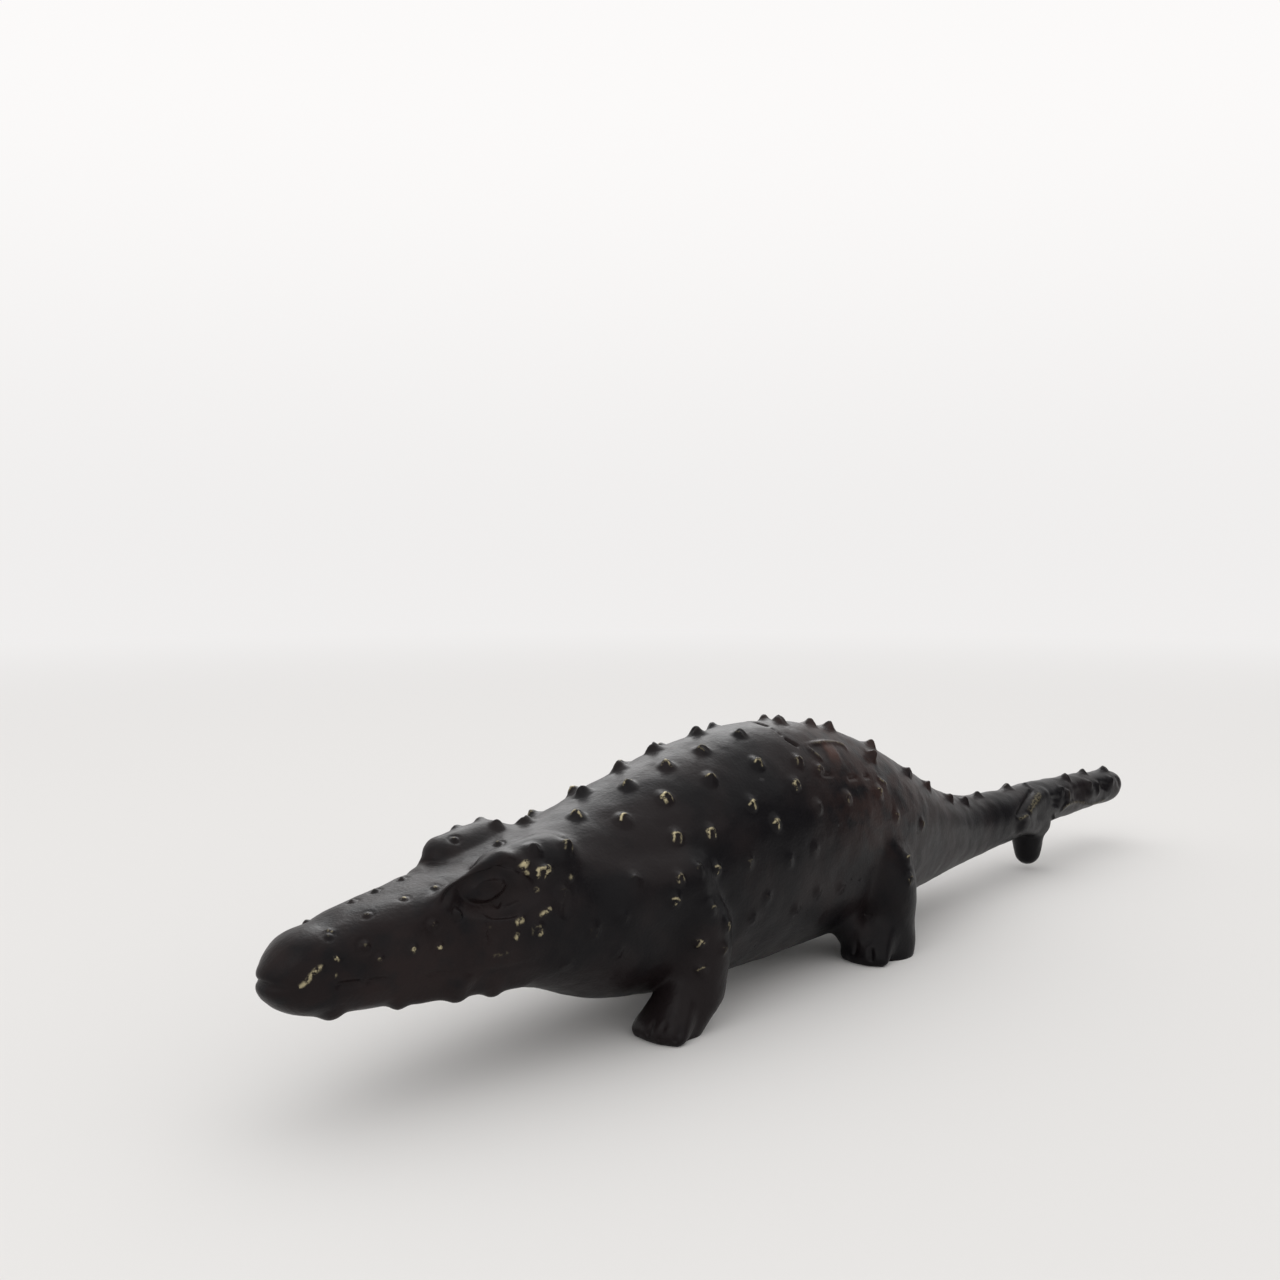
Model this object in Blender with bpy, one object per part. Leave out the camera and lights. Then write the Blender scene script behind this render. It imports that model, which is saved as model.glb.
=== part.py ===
"""A cast bronze crocodile, one casting that stands on four short legs.

Metres, +Z up. The head points to -X, the animal's left side is at -Y, and the floor is z = 0.
The pose, the proportions and the carving are shares of LENGTH: "along" from the tip of the snout,
"aside" from the middle plane, positive on the animal's left, and "up" from the floor.
"""

import math
import random

import bmesh
import bpy
import numpy as np
from mathutils import Vector
from mathutils.bvhtree import BVHTree

# Snout to tail tip.
LENGTH = 0.500

# Pinched knobs. KNOB_PINCH above 1 hollows their sides. A low knob is narrower too, but never less than
# KNOB_LEAST of the full width.
KNOB_WIDTH = 0.0078
KNOB_HEIGHT = 0.0026
KNOB_LEAST = 0.6
KNOB_PINCH = 1.15

# Grooves cut in the wax.
MOUTH_GROOVE_WIDTH = 0.0034
MOUTH_GROOVE_DEPTH = 0.0016
SOCKET_DEPTH = 0.0038
EYE_BULGE = 0.0027

# Fineness of the fused casting, how often its joins are softened, and how many faces it is thinned to.
GRAIN = LENGTH / 400
SOFTENINGS = 5
FACES = 9400
TRUNK_RINGS = 130
TRUNK_SIDES = 48
LEG_RINGS = 30
LEG_SIDES = 24
POD_RINGS = 17
POD_SIDES = 16

# Seed of the right side's uneven knobs.
SEED = 7

# How high the trunk is widest, from its bottom to its top.
WIDEST = 0.47
# The trunk's stations: along, top, bottom, half width, squareness of the section (2 is an ellipse).
TRUNK = (
    (0.000, 0.086, 0.073, 0.006, 2.0),
    (0.010, 0.0955, 0.064, 0.017, 2.2),
    (0.040, 0.1022, 0.057, 0.026, 2.6),
    (0.085, 0.1112, 0.055, 0.034, 2.8),
    (0.125, 0.119, 0.051, 0.043, 2.6),
    (0.165, 0.129, 0.041, 0.051, 2.4),
    (0.210, 0.138, 0.023, 0.057, 2.2),
    (0.260, 0.154, 0.013, 0.062, 2.1),
    (0.320, 0.170, 0.010, 0.065, 2.0),
    (0.385, 0.177, 0.010, 0.066, 2.0),
    (0.450, 0.170, 0.011, 0.064, 2.0),
    (0.510, 0.152, 0.014, 0.057, 2.0),
    (0.560, 0.129, 0.020, 0.047, 2.0),
    (0.610, 0.105, 0.025, 0.037, 2.0),
    (0.660, 0.089, 0.028, 0.028, 2.0),
    (0.740, 0.082, 0.033, 0.023, 2.0),
    (0.830, 0.081, 0.040, 0.020, 2.0),
    (0.920, 0.077, 0.042, 0.017, 2.0),
    (0.976, 0.072, 0.047, 0.013, 2.0),
    (0.988, 0.068, 0.053, 0.007, 2.0),
)

# Legs: up, along, aside, radius, from the shoulder or hip down past the sole.
FRONT_LEG = (
    (0.112, 0.250, 0.036, 0.010),
    (0.102, 0.252, 0.039, 0.020),
    (0.086, 0.259, 0.045, 0.026),
    (0.070, 0.268, 0.049, 0.025),
    (0.057, 0.272, 0.050, 0.023),
    (0.034, 0.271, 0.050, 0.0208),
    (0.018, 0.268, 0.050, 0.0203),
    (0.006, 0.260, 0.049, 0.0178),
    (-0.008, 0.251, 0.048, 0.0150),
)
REAR_LEG = (
    (0.106, 0.474, 0.034, 0.010),
    (0.088, 0.476, 0.039, 0.023),
    (0.064, 0.480, 0.045, 0.028),
    (0.042, 0.483, 0.049, 0.025),
    (0.024, 0.484, 0.049, 0.0228),
    (0.010, 0.484, 0.050, 0.0228),
    (-0.008, 0.480, 0.050, 0.0215),
)
# The shoulder that each front leg grows out of: its front and back, with a radius at each.
SHOULDER_FRONT = (0.212, 0.034, 0.088)
SHOULDER_BACK = (0.256, 0.041, 0.090)
SHOULDER_RADII = (0.029, 0.029)
# The far legs of the stride: how far back the front one stands, and how far forward the rear one.
FAR_FRONT_BACK = 0.050
FAR_REAR_FORWARD = 0.050

# Toes fan out from the ankle: along and aside of the fan's middle, and degrees outward from straight ahead.
# TOE_ROOT is how far each starts from the middle, as a share of its reach.
FRONT_FOOT = (0.2555, 0.0505)
REAR_FOOT = (0.4695, 0.0535)
TOE_ANGLES = (-34, -9, 16, 42)
TOE_REACH = 0.0295
TOE_RADIUS = 0.0082
TOE_ROOT = 0.15
ANKLE_RADIUS = 0.0145
ANKLE_UP = 0.024
TOE_UP = 0.0060

# The web in front of each rear leg.
KNEE_TOP = (0.446, 0.041, 0.029)
KNEE_FOOT = (0.459, 0.044, 0.013)
KNEE_RADIUS = 0.0125

# Brow domes behind and above the eyes, and the hollow round each eyeball.
BROW_FRONT = (0.134, 0.025, 0.1145)
BROW_BACK = (0.168, 0.026, 0.1150)
BROW_RADII = (0.0160, 0.0210)
# The ridge of the upper lid, which stands lower on the right.
LID_FRONT = (0.094, 0.030, 0.110)
LID_BACK = (0.132, 0.031, 0.125)
LID_RADIUS = 0.0075
RIGHT_LID_DROP = 0.013
EYE = (0.119, 0.112)
EYE_RADII = (0.0120, 0.0085)
SOCKET = (0.115, 0.044, 0.111)
SOCKET_RADII = (0.037, 0.022, 0.0145)
SOCKET_SLOPE = 0.12
SOCKET_EDGE = 0.6

# Bumps under the edge of the lower jaw: along, how far out as a share of the jaw's half width, radius.
CHIN_BUMPS = ((0.034, 0.45, 0.0125), (0.069, 0.68, 0.0076), (0.102, 0.74, 0.0110), (0.125, 0.76, 0.0088))
# Where each bump's tip is centred under the jaw's edge, and the tip's radius, as shares of its radius.
CHIN_TIP_UP = 0.42
CHIN_TIP_RADIUS = 0.7

# The mouth: along, up. It ends at the corner behind the eye, over MOUTH_FADE.
MOUTH_FADE = 0.010
MOUTH = ((0.000, 0.080), (0.050, 0.076), (0.085, 0.073), (0.120, 0.068), (0.155, 0.069))

# The rounded peg under the tail and the slanting shoulders that carry it.
PEG = (0.799, 0.0160, 0.047)
PEG_RADII = (0.0122, 0.0178)
SADDLE_TOP = (0.802, 0.008, 0.069)
SADDLE_FOOT = (0.744, 0.019, 0.053)
SADDLE_ROOT = (0.800, 0.004, 0.047)
SADDLE_RADII = (0.011, 0.008)

# Knobs near the crest: station, turn in degrees (0 is the left flank, 90 the crest), share of KNOB_HEIGHT.
CREST_KNOBS = (
    (0.032, 59, 0.5), (0.056, 70, 0.5), (0.079, 73, 0.5), (0.098, 72, 0.5), (0.036, 118, 0.5),
    (0.061, 100, 0.5), (0.077, 102, 0.5), (0.096, 103, 0.5), (0.137, 104, 0.4), (0.155, 90, 0.5),
    (0.168, 104, 0.8), (0.188, 102, 1.1), (0.233, 99, 1.2), (0.269, 102, 1.3), (0.302, 102, 1.3),
    (0.337, 96, 1.2), (0.372, 110, 1.0), (0.420, 103, 1.2), (0.470, 108, 1.1), (0.520, 114, 1.0),
    (0.207, 80, 1.0), (0.250, 79, 1.0), (0.283, 77, 1.0), (0.315, 75, 0.9), (0.355, 76, 0.9),
    (0.411, 85, 1.1), (0.443, 82, 1.1), (0.464, 80, 1.2), (0.510, 73, 1.1), (0.700, 84, 0.8),
    (0.760, 93, 1.0), (0.789, 84, 0.6), (0.864, 75, 1.0), (0.912, 89, 0.9), (0.957, 86, 1.0),
)
# Knobs on the left flank, in the same terms, which the right flank repeats.
FLANK_KNOBS = (
    (0.047, 29, 0.5), (0.085, 26, 0.5), (0.100, 30, 0.5), (0.053, 9, 0.5), (0.072, 8, 0.5),
    (0.087, 4, 0.5), (0.151, 58, 0.85), (0.173, 53, 0.9), (0.227, 59, 1.0), (0.261, 58, 1.0),
    (0.300, 55, 1.0), (0.345, 53, 1.0), (0.383, 48, 0.85), (0.401, 42, 0.8), (0.485, 54, 1.1),
    (0.542, 54, 1.0), (0.576, 52, 1.0), (0.622, 55, 0.9), (0.659, 62, 0.9), (0.150, 43, 0.8),
    (0.254, 36, 0.9), (0.281, 31, 0.85), (0.322, 35, 0.9), (0.369, 37, 0.85), (0.339, 23, 0.85),
    (0.385, 24, 0.8), (0.421, 26, 0.8), (0.467, 29, 0.8), (0.486, 16, 0.75), (0.530, 12, 0.75),
    (0.164, 25, 0.75), (0.211, 23, 0.8), (0.308, 11, 0.75), (0.347, 5, 0.75), (0.375, 6, 0.75),
    (0.144, 4, 0.75), (0.181, 0, 0.75), (0.199, 6, 0.75), (0.165, -23, 0.7), (0.199, -13, 0.7),
    (0.314, -17, 0.75), (0.326, -9, 0.7), (0.360, -22, 0.85), (0.382, -16, 0.75), (0.410, -18, 0.75),
    (0.835, 38, 0.85), (0.895, 36, 0.85), (0.945, 34, 0.8),
)
# The turn that the two flanks lie about, by station, and how far forward the right one's knobs are set.
KNOB_CREST = ((0.35, 0.45), (87, 97))
RIGHT_FORWARD = 0.021
HEAD_END = 0.180
# Knobs on the left legs, as points close to the skin, which the right legs repeat. LEG_KNOB is their height.
LEG_KNOB = 0.8
FRONT_LEG_KNOBS = (
    (0.277, 0.061, 0.101), (0.262, 0.072, 0.081), (0.275, 0.073, 0.068), (0.273, 0.073, 0.054),
    (0.256, 0.068, 0.061), (0.259, 0.067, 0.043), (0.241, 0.064, 0.102), (0.258, 0.065, 0.105),
    (0.236, 0.066, 0.090),
)
REAR_LEG_KNOBS = ((0.484, 0.069, 0.074), (0.480, 0.071, 0.060), (0.507, 0.054, 0.036))
# How far the right flank's knobs stray from the left one's pattern, in stations and degrees.
STRAY = (0.006, 4)


def place(along, aside, up):
    """A point in metres from its shares of the length."""
    return Vector((along, -aside, up)) * LENGTH


def mirrored(spot, side, forward=0.0, drop=0.0):
    """The point on one side, 1 for the left and -1 for the right, moved tailwards or down by shares."""
    along, aside, up = spot
    return place(along + forward, side * aside, up - drop)


def smooth(table, at):
    """The table's columns at one value of its first column, on a smooth curve through its rows."""
    rows = np.array(table)
    first = rows[:, 0] if rows[0, 0] < rows[-1, 0] else -rows[:, 0]
    at = at if rows[0, 0] < rows[-1, 0] else -at
    slopes = np.gradient(rows[:, 1:], first, axis=0)
    i = int(np.clip(np.searchsorted(first, at) - 1, 0, len(first) - 2))
    gap = first[i + 1] - first[i]
    t = (at - first[i]) / gap
    return (
        (2 * t**3 - 3 * t**2 + 1) * rows[i, 1:]
        + (t**3 - 2 * t**2 + t) * gap * slopes[i]
        + (3 * t**2 - 2 * t**3) * rows[i + 1, 1:]
        + (t**3 - t**2) * gap * slopes[i + 1]
    )


def power(value, exponent):
    return math.copysign(abs(value) ** exponent, value)


def trunk_point(along, turn):
    """A point of the trunk's skin: turn 0 faces the left side, 90 degrees is the crest of the back."""
    top, bottom, half, square = smooth(TRUNK, along)
    middle = bottom + WIDEST * (top - bottom)
    side = power(math.cos(turn), 2 / square)
    rise = power(math.sin(turn), 2 / square)
    reach = top - middle if rise > 0 else middle - bottom
    return place(along, half * side, middle + reach * rise)


def loft(rings):
    """A closed shell through rings of points, each end closed on its ring's middle."""
    shell = bmesh.new()
    rows = [[shell.verts.new(point) for point in ring] for ring in rings]
    sides = len(rows[0])
    for near, far in zip(rows, rows[1:]):
        for i in range(sides):
            j = (i + 1) % sides
            shell.faces.new((near[i], near[j], far[j], far[i]))
    for row in (rows[0], rows[-1]):
        hub = shell.verts.new(sum((v.co for v in row), Vector()) / sides)
        for i in range(sides):
            shell.faces.new((hub, row[i], row[(i + 1) % sides]))
    bmesh.ops.recalc_face_normals(shell, faces=shell.faces)
    return shell


def trunk():
    stations = np.linspace(TRUNK[0][0], TRUNK[-1][0], TRUNK_RINGS)
    turns = np.linspace(0, 2 * math.pi, TRUNK_SIDES, endpoint=False)
    return loft([[trunk_point(along, turn) for turn in turns] for along in stations])


def leg_point(rows, side, shift, up, turn):
    """A point of a leg's skin: turn 0 faces the tail, 90 degrees faces outward."""
    along, aside, radius = smooth(rows, up)
    return place(along + shift + radius * math.cos(turn), side * (aside + radius * math.sin(turn)), up)


def leg(rows, side, shift):
    """A leg lofted from level rings; side is 1 on the animal's left and -1 on its right."""
    rings = []
    turns = np.linspace(0, 2 * math.pi, LEG_SIDES, endpoint=False)
    for up in np.linspace(rows[0][0], rows[-1][0], LEG_RINGS):
        rings.append([leg_point(rows, side, shift, up, turn) for turn in turns])
    return loft(rings)


def pod(start, end, first_radius, last_radius):
    """A capsule between two points, with a radius at each end."""
    axis = (end - start).normalized()
    across = axis.orthogonal().normalized()
    third = axis.cross(across)
    turns = np.linspace(0, 2 * math.pi, POD_SIDES, endpoint=False)
    spokes = [across * math.cos(turn) + third * math.sin(turn) for turn in turns]
    rings = []
    for tilt in np.radians(np.linspace(-88, 88, POD_RINGS)):
        middle, radius = (end, last_radius) if tilt > 0 else (start, first_radius)
        centre = middle + axis * radius * math.sin(tilt)
        rings.append([centre + spoke * radius * math.cos(tilt) for spoke in spokes])
    return loft(rings)


def foot(middle, side, shift):
    """Four toes that fan out from the ankle and sink into the floor's plane, where the sole is cut."""
    along, aside = middle
    shells = []
    for angle in TOE_ANGLES:
        ahead, out = math.cos(math.radians(angle)), math.sin(math.radians(angle))
        reach = TOE_REACH - TOE_RADIUS
        ankle = place(along + shift + TOE_ROOT * reach * ahead, side * aside, ANKLE_UP)
        tip = place(along + shift - reach * ahead, side * (aside + reach * out), TOE_UP)
        shells.append(pod(ankle, tip, ANKLE_RADIUS * LENGTH, TOE_RADIUS * LENGTH))
    return shells


def brow(side):
    """The dome over one eye, and the ridge of its upper lid."""
    dome = [mirrored(spot, side) for spot in (BROW_FRONT, BROW_BACK)]
    drop = 0.0 if side > 0 else RIGHT_LID_DROP
    lid = [mirrored(spot, side, drop=drop) for spot in (LID_FRONT, LID_BACK)]
    return [
        pod(*dome, BROW_RADII[0] * LENGTH, BROW_RADII[1] * LENGTH),
        pod(*lid, LID_RADIUS * LENGTH, LID_RADIUS * LENGTH),
    ]


def shoulder(side, shift):
    """The mass of one shoulder, half sunk in the trunk."""
    ends = [mirrored(spot, side, forward=shift) for spot in (SHOULDER_FRONT, SHOULDER_BACK)]
    return pod(*ends, SHOULDER_RADII[0] * LENGTH, SHOULDER_RADII[1] * LENGTH)


def knee(side, shift):
    """The web in front of a rear leg, from the belly down to the foot."""
    ends = [mirrored(spot, side, forward=shift) for spot in (KNEE_TOP, KNEE_FOOT)]
    return pod(*ends, KNEE_RADIUS * LENGTH, KNEE_RADIUS * LENGTH)


def chin_bumps(side):
    """Bumps along the underside of the jaw, each a short upright pod."""
    shells = []
    for along, out, radius in CHIN_BUMPS:
        bottom, half = smooth(TRUNK, along)[1:3]
        top = place(along, side * out * half, bottom + radius)
        tip = place(along, side * out * half, bottom + CHIN_TIP_UP * radius)
        shells.append(pod(top, tip, radius * LENGTH, CHIN_TIP_RADIUS * radius * LENGTH))
    return shells


def peg():
    """The rounded peg under the tail, and the shoulder that slants down to it on each side."""
    along, low, high = PEG
    shells = [pod(place(along, 0, high), place(along, 0, low), PEG_RADII[1] * LENGTH, PEG_RADII[0] * LENGTH)]
    for side in (1, -1):
        top, low_end, root = (mirrored(spot, side) for spot in (SADDLE_TOP, SADDLE_FOOT, SADDLE_ROOT))
        shells.append(pod(top, low_end, SADDLE_RADII[0] * LENGTH, SADDLE_RADII[1] * LENGTH))
        shells.append(pod(low_end, root, SADDLE_RADII[1] * LENGTH, PEG_RADII[1] * LENGTH))
    return shells


def fuse(shells, name):
    """One mesh object of every shell, fused into a single skin and kept as fine as GRAIN."""
    whole = bmesh.new()
    for shell in shells:
        piece = bpy.data.meshes.new("shell")
        shell.to_mesh(piece)
        shell.free()
        whole.from_mesh(piece)
        bpy.data.meshes.remove(piece)
    mesh = bpy.data.meshes.new(name)
    whole.to_mesh(mesh)
    whole.free()
    obj = bpy.data.objects.new(name, mesh)
    bpy.context.scene.collection.objects.link(obj)
    remesh = obj.modifiers.new("one skin", "REMESH")
    remesh.mode = "VOXEL"
    remesh.voxel_size = GRAIN
    soften = obj.modifiers.new("soft joins", "SMOOTH")
    soften.factor = 0.5
    soften.iterations = SOFTENINGS
    settle(obj)
    return obj


def settle(obj):
    """Replaces the object's mesh by what its modifiers make of it."""
    bpy.context.view_layer.update()
    made = bpy.data.meshes.new_from_object(obj.evaluated_get(bpy.context.evaluated_depsgraph_get()))
    old = obj.data
    obj.modifiers.clear()
    obj.data = made
    bpy.data.meshes.remove(old)
    made.name = obj.name


class Wax:
    """The fused skin as arrays, for strokes that push it in or out."""

    def __init__(self, obj):
        self.mesh = obj.data
        self.points = np.empty(len(self.mesh.vertices) * 3)
        self.mesh.vertices.foreach_get("co", self.points)
        self.points = self.points.reshape(-1, 3)
        self.read_normals()

    def read_normals(self):
        normals = np.empty(len(self.mesh.vertices) * 3, np.float32)
        self.mesh.vertex_normals.foreach_get("vector", normals)
        self.normals = normals.reshape(-1, 3).astype(float)

    def shares(self):
        """Along, aside and up of every point."""
        return self.points[:, 0] / LENGTH, -self.points[:, 1] / LENGTH, self.points[:, 2] / LENGTH

    def push(self, amount, direction=None):
        """Moves the points along their normals, or one direction, and reads the normals again."""
        self.points += amount[:, None] * (self.normals if direction is None else direction)
        self.mesh.vertices.foreach_set("co", self.points.ravel())
        self.mesh.update()
        self.read_normals()


def carve_sockets(wax):
    """An almond hollow on each side of the head, with the eyeball standing in it."""
    for side in (1, -1):
        outward = np.array((0.0, -side, 0.0))
        along, aside, up = wax.shares()
        far = (
            ((along - SOCKET[0]) / SOCKET_RADII[0]) ** 2
            + ((side * aside - SOCKET[1]) / SOCKET_RADII[1]) ** 2
            + ((up - SOCKET[2] + SOCKET_SLOPE * (along - SOCKET[0])) / SOCKET_RADII[2]) ** 2
        )
        wax.push(-SOCKET_DEPTH * np.clip(1 - far, 0, 1) ** SOCKET_EDGE, outward)
        far = ((along - EYE[0]) / EYE_RADII[0]) ** 2 + ((up - EYE[1]) / EYE_RADII[1]) ** 2
        ball = np.sqrt(np.clip(1 - far, 0, 1)) * (side * aside > 0)
        wax.push(EYE_BULGE * ball, outward)


def carve_mouth(wax):
    """The line between the jaws, from one corner round the snout to the other."""
    along, _, up = wax.shares()
    stations = np.array(MOUTH)
    line = np.interp(along, stations[:, 0], stations[:, 1])
    width = 0.5 * MOUTH_GROOVE_WIDTH / LENGTH
    fade = np.clip((MOUTH[-1][0] - along) / MOUTH_FADE, 0, 1)
    groove = np.clip(1 - ((up - line) / width) ** 2, 0, 1) * fade
    flank = np.clip(1 - np.abs(wax.normals[:, 2]), 0, 1)
    wax.push(-MOUTH_GROOVE_DEPTH * groove * flank)


def knob_rays():
    """Where the knobs stand: a point inside the casting, one that the knob stands behind, and its height."""
    stray = random.Random(SEED)
    spots = list(CREST_KNOBS + FLANK_KNOBS)
    for along, turn, share in FLANK_KNOBS:
        along += stray.uniform(-STRAY[0], STRAY[0]) - (RIGHT_FORWARD if along > HEAD_END else 0)
        turn = 2 * np.interp(along, *KNOB_CREST) - turn + stray.uniform(-STRAY[1], STRAY[1])
        spots.append((along, turn, share))
    rays = []
    for along, turn, share in spots:
        top, bottom = smooth(TRUNK, along)[:2]
        core = place(along, 0, bottom + WIDEST * (top - bottom))
        rays.append((core, trunk_point(along, math.radians(turn)), share * KNOB_HEIGHT))
    for rows, knobs, shift in (
        (FRONT_LEG, FRONT_LEG_KNOBS, FAR_FRONT_BACK),
        (REAR_LEG, REAR_LEG_KNOBS, -FAR_REAR_FORWARD),
    ):
        for spot in knobs:
            along, aside, _ = smooth(rows, spot[2])
            for side, forward in ((1, 0.0), (-1, shift)):
                ends = [mirrored(end, side, forward=forward) for end in ((along, aside, spot[2]), spot)]
                rays.append((*ends, LEG_KNOB * KNOB_HEIGHT))
    return rays


def stamp_knobs(wax):
    """Pinched knobs, each lifted out of the skin along the skin's normal."""
    skin = BVHTree.FromPolygons(wax.points.tolist(), [tuple(face.vertices) for face in wax.mesh.polygons])
    for core, spot, height in knob_rays():
        point, normal, _, _ = skin.ray_cast(core, (spot - core).normalized())
        if point is None:
            point, normal, _, _ = skin.find_nearest(spot)
        radius = KNOB_WIDTH / 2 * (KNOB_LEAST + (1 - KNOB_LEAST) * height / KNOB_HEIGHT)
        far = np.linalg.norm(wax.points - np.array(point), axis=1)
        near = np.flatnonzero(far < radius)
        lift = (1 - far[near] / radius) ** KNOB_PINCH * height
        wax.points[near] += lift[:, None] * np.array(normal)
    wax.push(np.zeros(len(wax.points)))


def thin(obj):
    """Thins the skin to FACES triangles."""
    obj.data.calc_loop_triangles()
    thinner = obj.modifiers.new("thin", "DECIMATE")
    thinner.ratio = FACES / len(obj.data.loop_triangles)
    thinner.use_collapse_triangulate = True
    settle(obj)


def stand(obj):
    """Cuts the soles flat at the floor and brings the origin under the middle of the box."""
    body = bmesh.new()
    body.from_mesh(obj.data)
    cut = bmesh.ops.bisect_plane(
        body, geom=body.verts[:] + body.edges[:] + body.faces[:], plane_co=(0, 0, 0), plane_no=(0, 0, -1),
        clear_outer=True,
    )
    rims = [item for item in cut["geom_cut"] if isinstance(item, bmesh.types.BMEdge)]
    bmesh.ops.triangle_fill(body, edges=rims, use_beauty=True)
    bmesh.ops.triangulate(body, faces=[face for face in body.faces if len(face.verts) > 3])
    bmesh.ops.recalc_face_normals(body, faces=body.faces)
    spread = np.array([vert.co for vert in body.verts])
    middle = (spread.min(axis=0) + spread.max(axis=0)) / 2
    bmesh.ops.translate(body, verts=body.verts, vec=(-middle[0], -middle[1], 0))
    body.to_mesh(obj.data)
    body.free()


def bronze():
    """Dark brown patina."""
    material = bpy.data.materials.new("dark bronze")
    material.use_nodes = True
    shader = material.node_tree.nodes["Principled BSDF"]
    shader.inputs["Base Color"].default_value = (0.075, 0.060, 0.054, 1)
    shader.inputs["Metallic"].default_value = 0.6
    shader.inputs["Roughness"].default_value = 0.45
    return material


def main():
    for obj in list(bpy.data.objects):
        bpy.data.objects.remove(obj, do_unlink=True)
    shells = [trunk()]
    for side in (1, -1):
        front = 0.0 if side > 0 else FAR_FRONT_BACK
        rear = 0.0 if side > 0 else -FAR_REAR_FORWARD
        shells.append(leg(FRONT_LEG, side, front))
        shells.append(leg(REAR_LEG, side, rear))
        shells += foot(FRONT_FOOT, side, front)
        shells += foot(REAR_FOOT, side, rear)
        shells.append(shoulder(side, front))
        shells.append(knee(side, rear))
        shells += brow(side)
        shells += chin_bumps(side)
    shells += peg()
    crocodile = fuse(shells, "crocodile")
    wax = Wax(crocodile)
    carve_sockets(wax)
    carve_mouth(wax)
    stamp_knobs(wax)
    thin(crocodile)
    stand(crocodile)
    crocodile.data.materials.append(bronze())
    crocodile.data.shade_smooth()


main()
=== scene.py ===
"""A cast bronze crocodile on four short legs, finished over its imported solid.

The casting is one piece. Trunk, legs, toes, brows and the peg under the tail are modelled as closed shells
and fused into one skin. Strokes then push knobs, eyelids, jaws, toes, cracks and facets into the skin, as a
modeller's tools do in wax. Places are shares of the length: "along" from the tip of the snout, "aside" from
the middle plane, positive on the animal's left, and "up" from the floor. Strokes have their sizes in metres.
"""

from __future__ import annotations

import logging
import math
import random
from dataclasses import dataclass, field
from enum import Enum
from typing import Callable

import bpy
import numpy as np
from mathutils import Matrix, Vector
from mathutils.bvhtree import BVHTree
from mathutils.kdtree import KDTree

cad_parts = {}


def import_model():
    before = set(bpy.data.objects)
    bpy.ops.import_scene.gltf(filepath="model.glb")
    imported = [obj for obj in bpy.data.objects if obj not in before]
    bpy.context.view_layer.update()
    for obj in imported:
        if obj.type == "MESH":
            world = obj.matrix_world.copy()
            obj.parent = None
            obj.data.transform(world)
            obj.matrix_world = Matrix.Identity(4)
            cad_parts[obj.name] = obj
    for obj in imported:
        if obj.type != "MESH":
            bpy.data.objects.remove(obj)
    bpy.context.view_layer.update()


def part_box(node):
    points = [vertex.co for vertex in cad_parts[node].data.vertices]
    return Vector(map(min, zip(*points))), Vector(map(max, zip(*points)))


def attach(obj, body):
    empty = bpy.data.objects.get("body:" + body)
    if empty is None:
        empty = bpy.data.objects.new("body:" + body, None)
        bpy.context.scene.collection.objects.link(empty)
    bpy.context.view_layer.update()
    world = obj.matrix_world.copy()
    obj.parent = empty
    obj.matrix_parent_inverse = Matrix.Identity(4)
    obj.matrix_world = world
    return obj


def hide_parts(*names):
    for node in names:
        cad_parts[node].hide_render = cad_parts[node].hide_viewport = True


log = logging.getLogger("crocodile")

LENGTH = 0.500
CASTING = "crocodile"
POD_FINENESS = (48, 32)
POLE = 1e-6

Array = np.ndarray
Socket = bpy.types.NodeSocket
Spot = tuple[float, float, float]
Rule = Callable[[Array, Array], Array]


class Side(Enum):
    """The two sides of the animal, with the sign of "aside" on each."""

    LEFT = 1
    RIGHT = -1

    @property
    def outward(self) -> Array:
        """The direction that faces away from the animal on this side."""
        return np.array((0.0, -float(self.value), 0.0))


class Pinch(Enum):
    """How a knob was pinched up: the ridges that run down from the arc at its top."""

    ARC = ()
    TEE = (0.0,)
    FORK = (-0.30, 0.34)


def place(along: float, aside: float, up: float) -> Vector:
    """A point in metres from its shares of the length, with the snout's tip at x = 0."""
    return Vector((along, -aside, up)) * LENGTH


def sided(spot: Spot, side: Side, forward: float = 0.0, drop: float = 0.0) -> Vector:
    """A place on one side of the animal.

    Args:
        spot: Along, aside and up on the left side.
        side: The side to put it on.
        forward: How far it is moved towards the tail.
        drop: How far it is lowered.

    Returns:
        The point in metres.
    """
    along, aside, up = spot
    return place(along + forward, side.value * aside, up - drop)


def smooth(table: tuple, at: Array) -> Array:
    """The columns of a table at values of its first column, on a smooth curve through its rows.

    Args:
        table: Rows whose first column rises or falls steadily.
        at: Values of the first column.

    Returns:
        One row of the other columns for each value.
    """
    rows = np.array(table, float)
    turn = 1.0 if rows[0, 0] < rows[-1, 0] else -1.0
    first, at = rows[:, 0] * turn, np.atleast_1d(np.asarray(at, float)) * turn
    slopes = np.gradient(rows[:, 1:], first, axis=0)
    i = np.clip(np.searchsorted(first, at) - 1, 0, len(first) - 2)
    gap = (first[i + 1] - first[i])[:, None]
    t = (at - first[i])[:, None] / gap
    return (
        (2 * t**3 - 3 * t**2 + 1) * rows[i, 1:]
        + (t**3 - 2 * t**2 + t) * gap * slopes[i]
        + (3 * t**2 - 2 * t**3) * rows[i + 1, 1:]
        + (t**3 - t**2) * gap * slopes[i + 1]
    )


def power(value: Array, exponent: Array) -> Array:
    """A power that keeps the sign of its base."""
    return np.sign(value) * np.abs(value) ** exponent


def ease(value: Array) -> Array:
    """0 below 0, 1 above 1 and a soft step between."""
    value = np.clip(value, 0, 1)
    return value * value * (3 - 2 * value)


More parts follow.
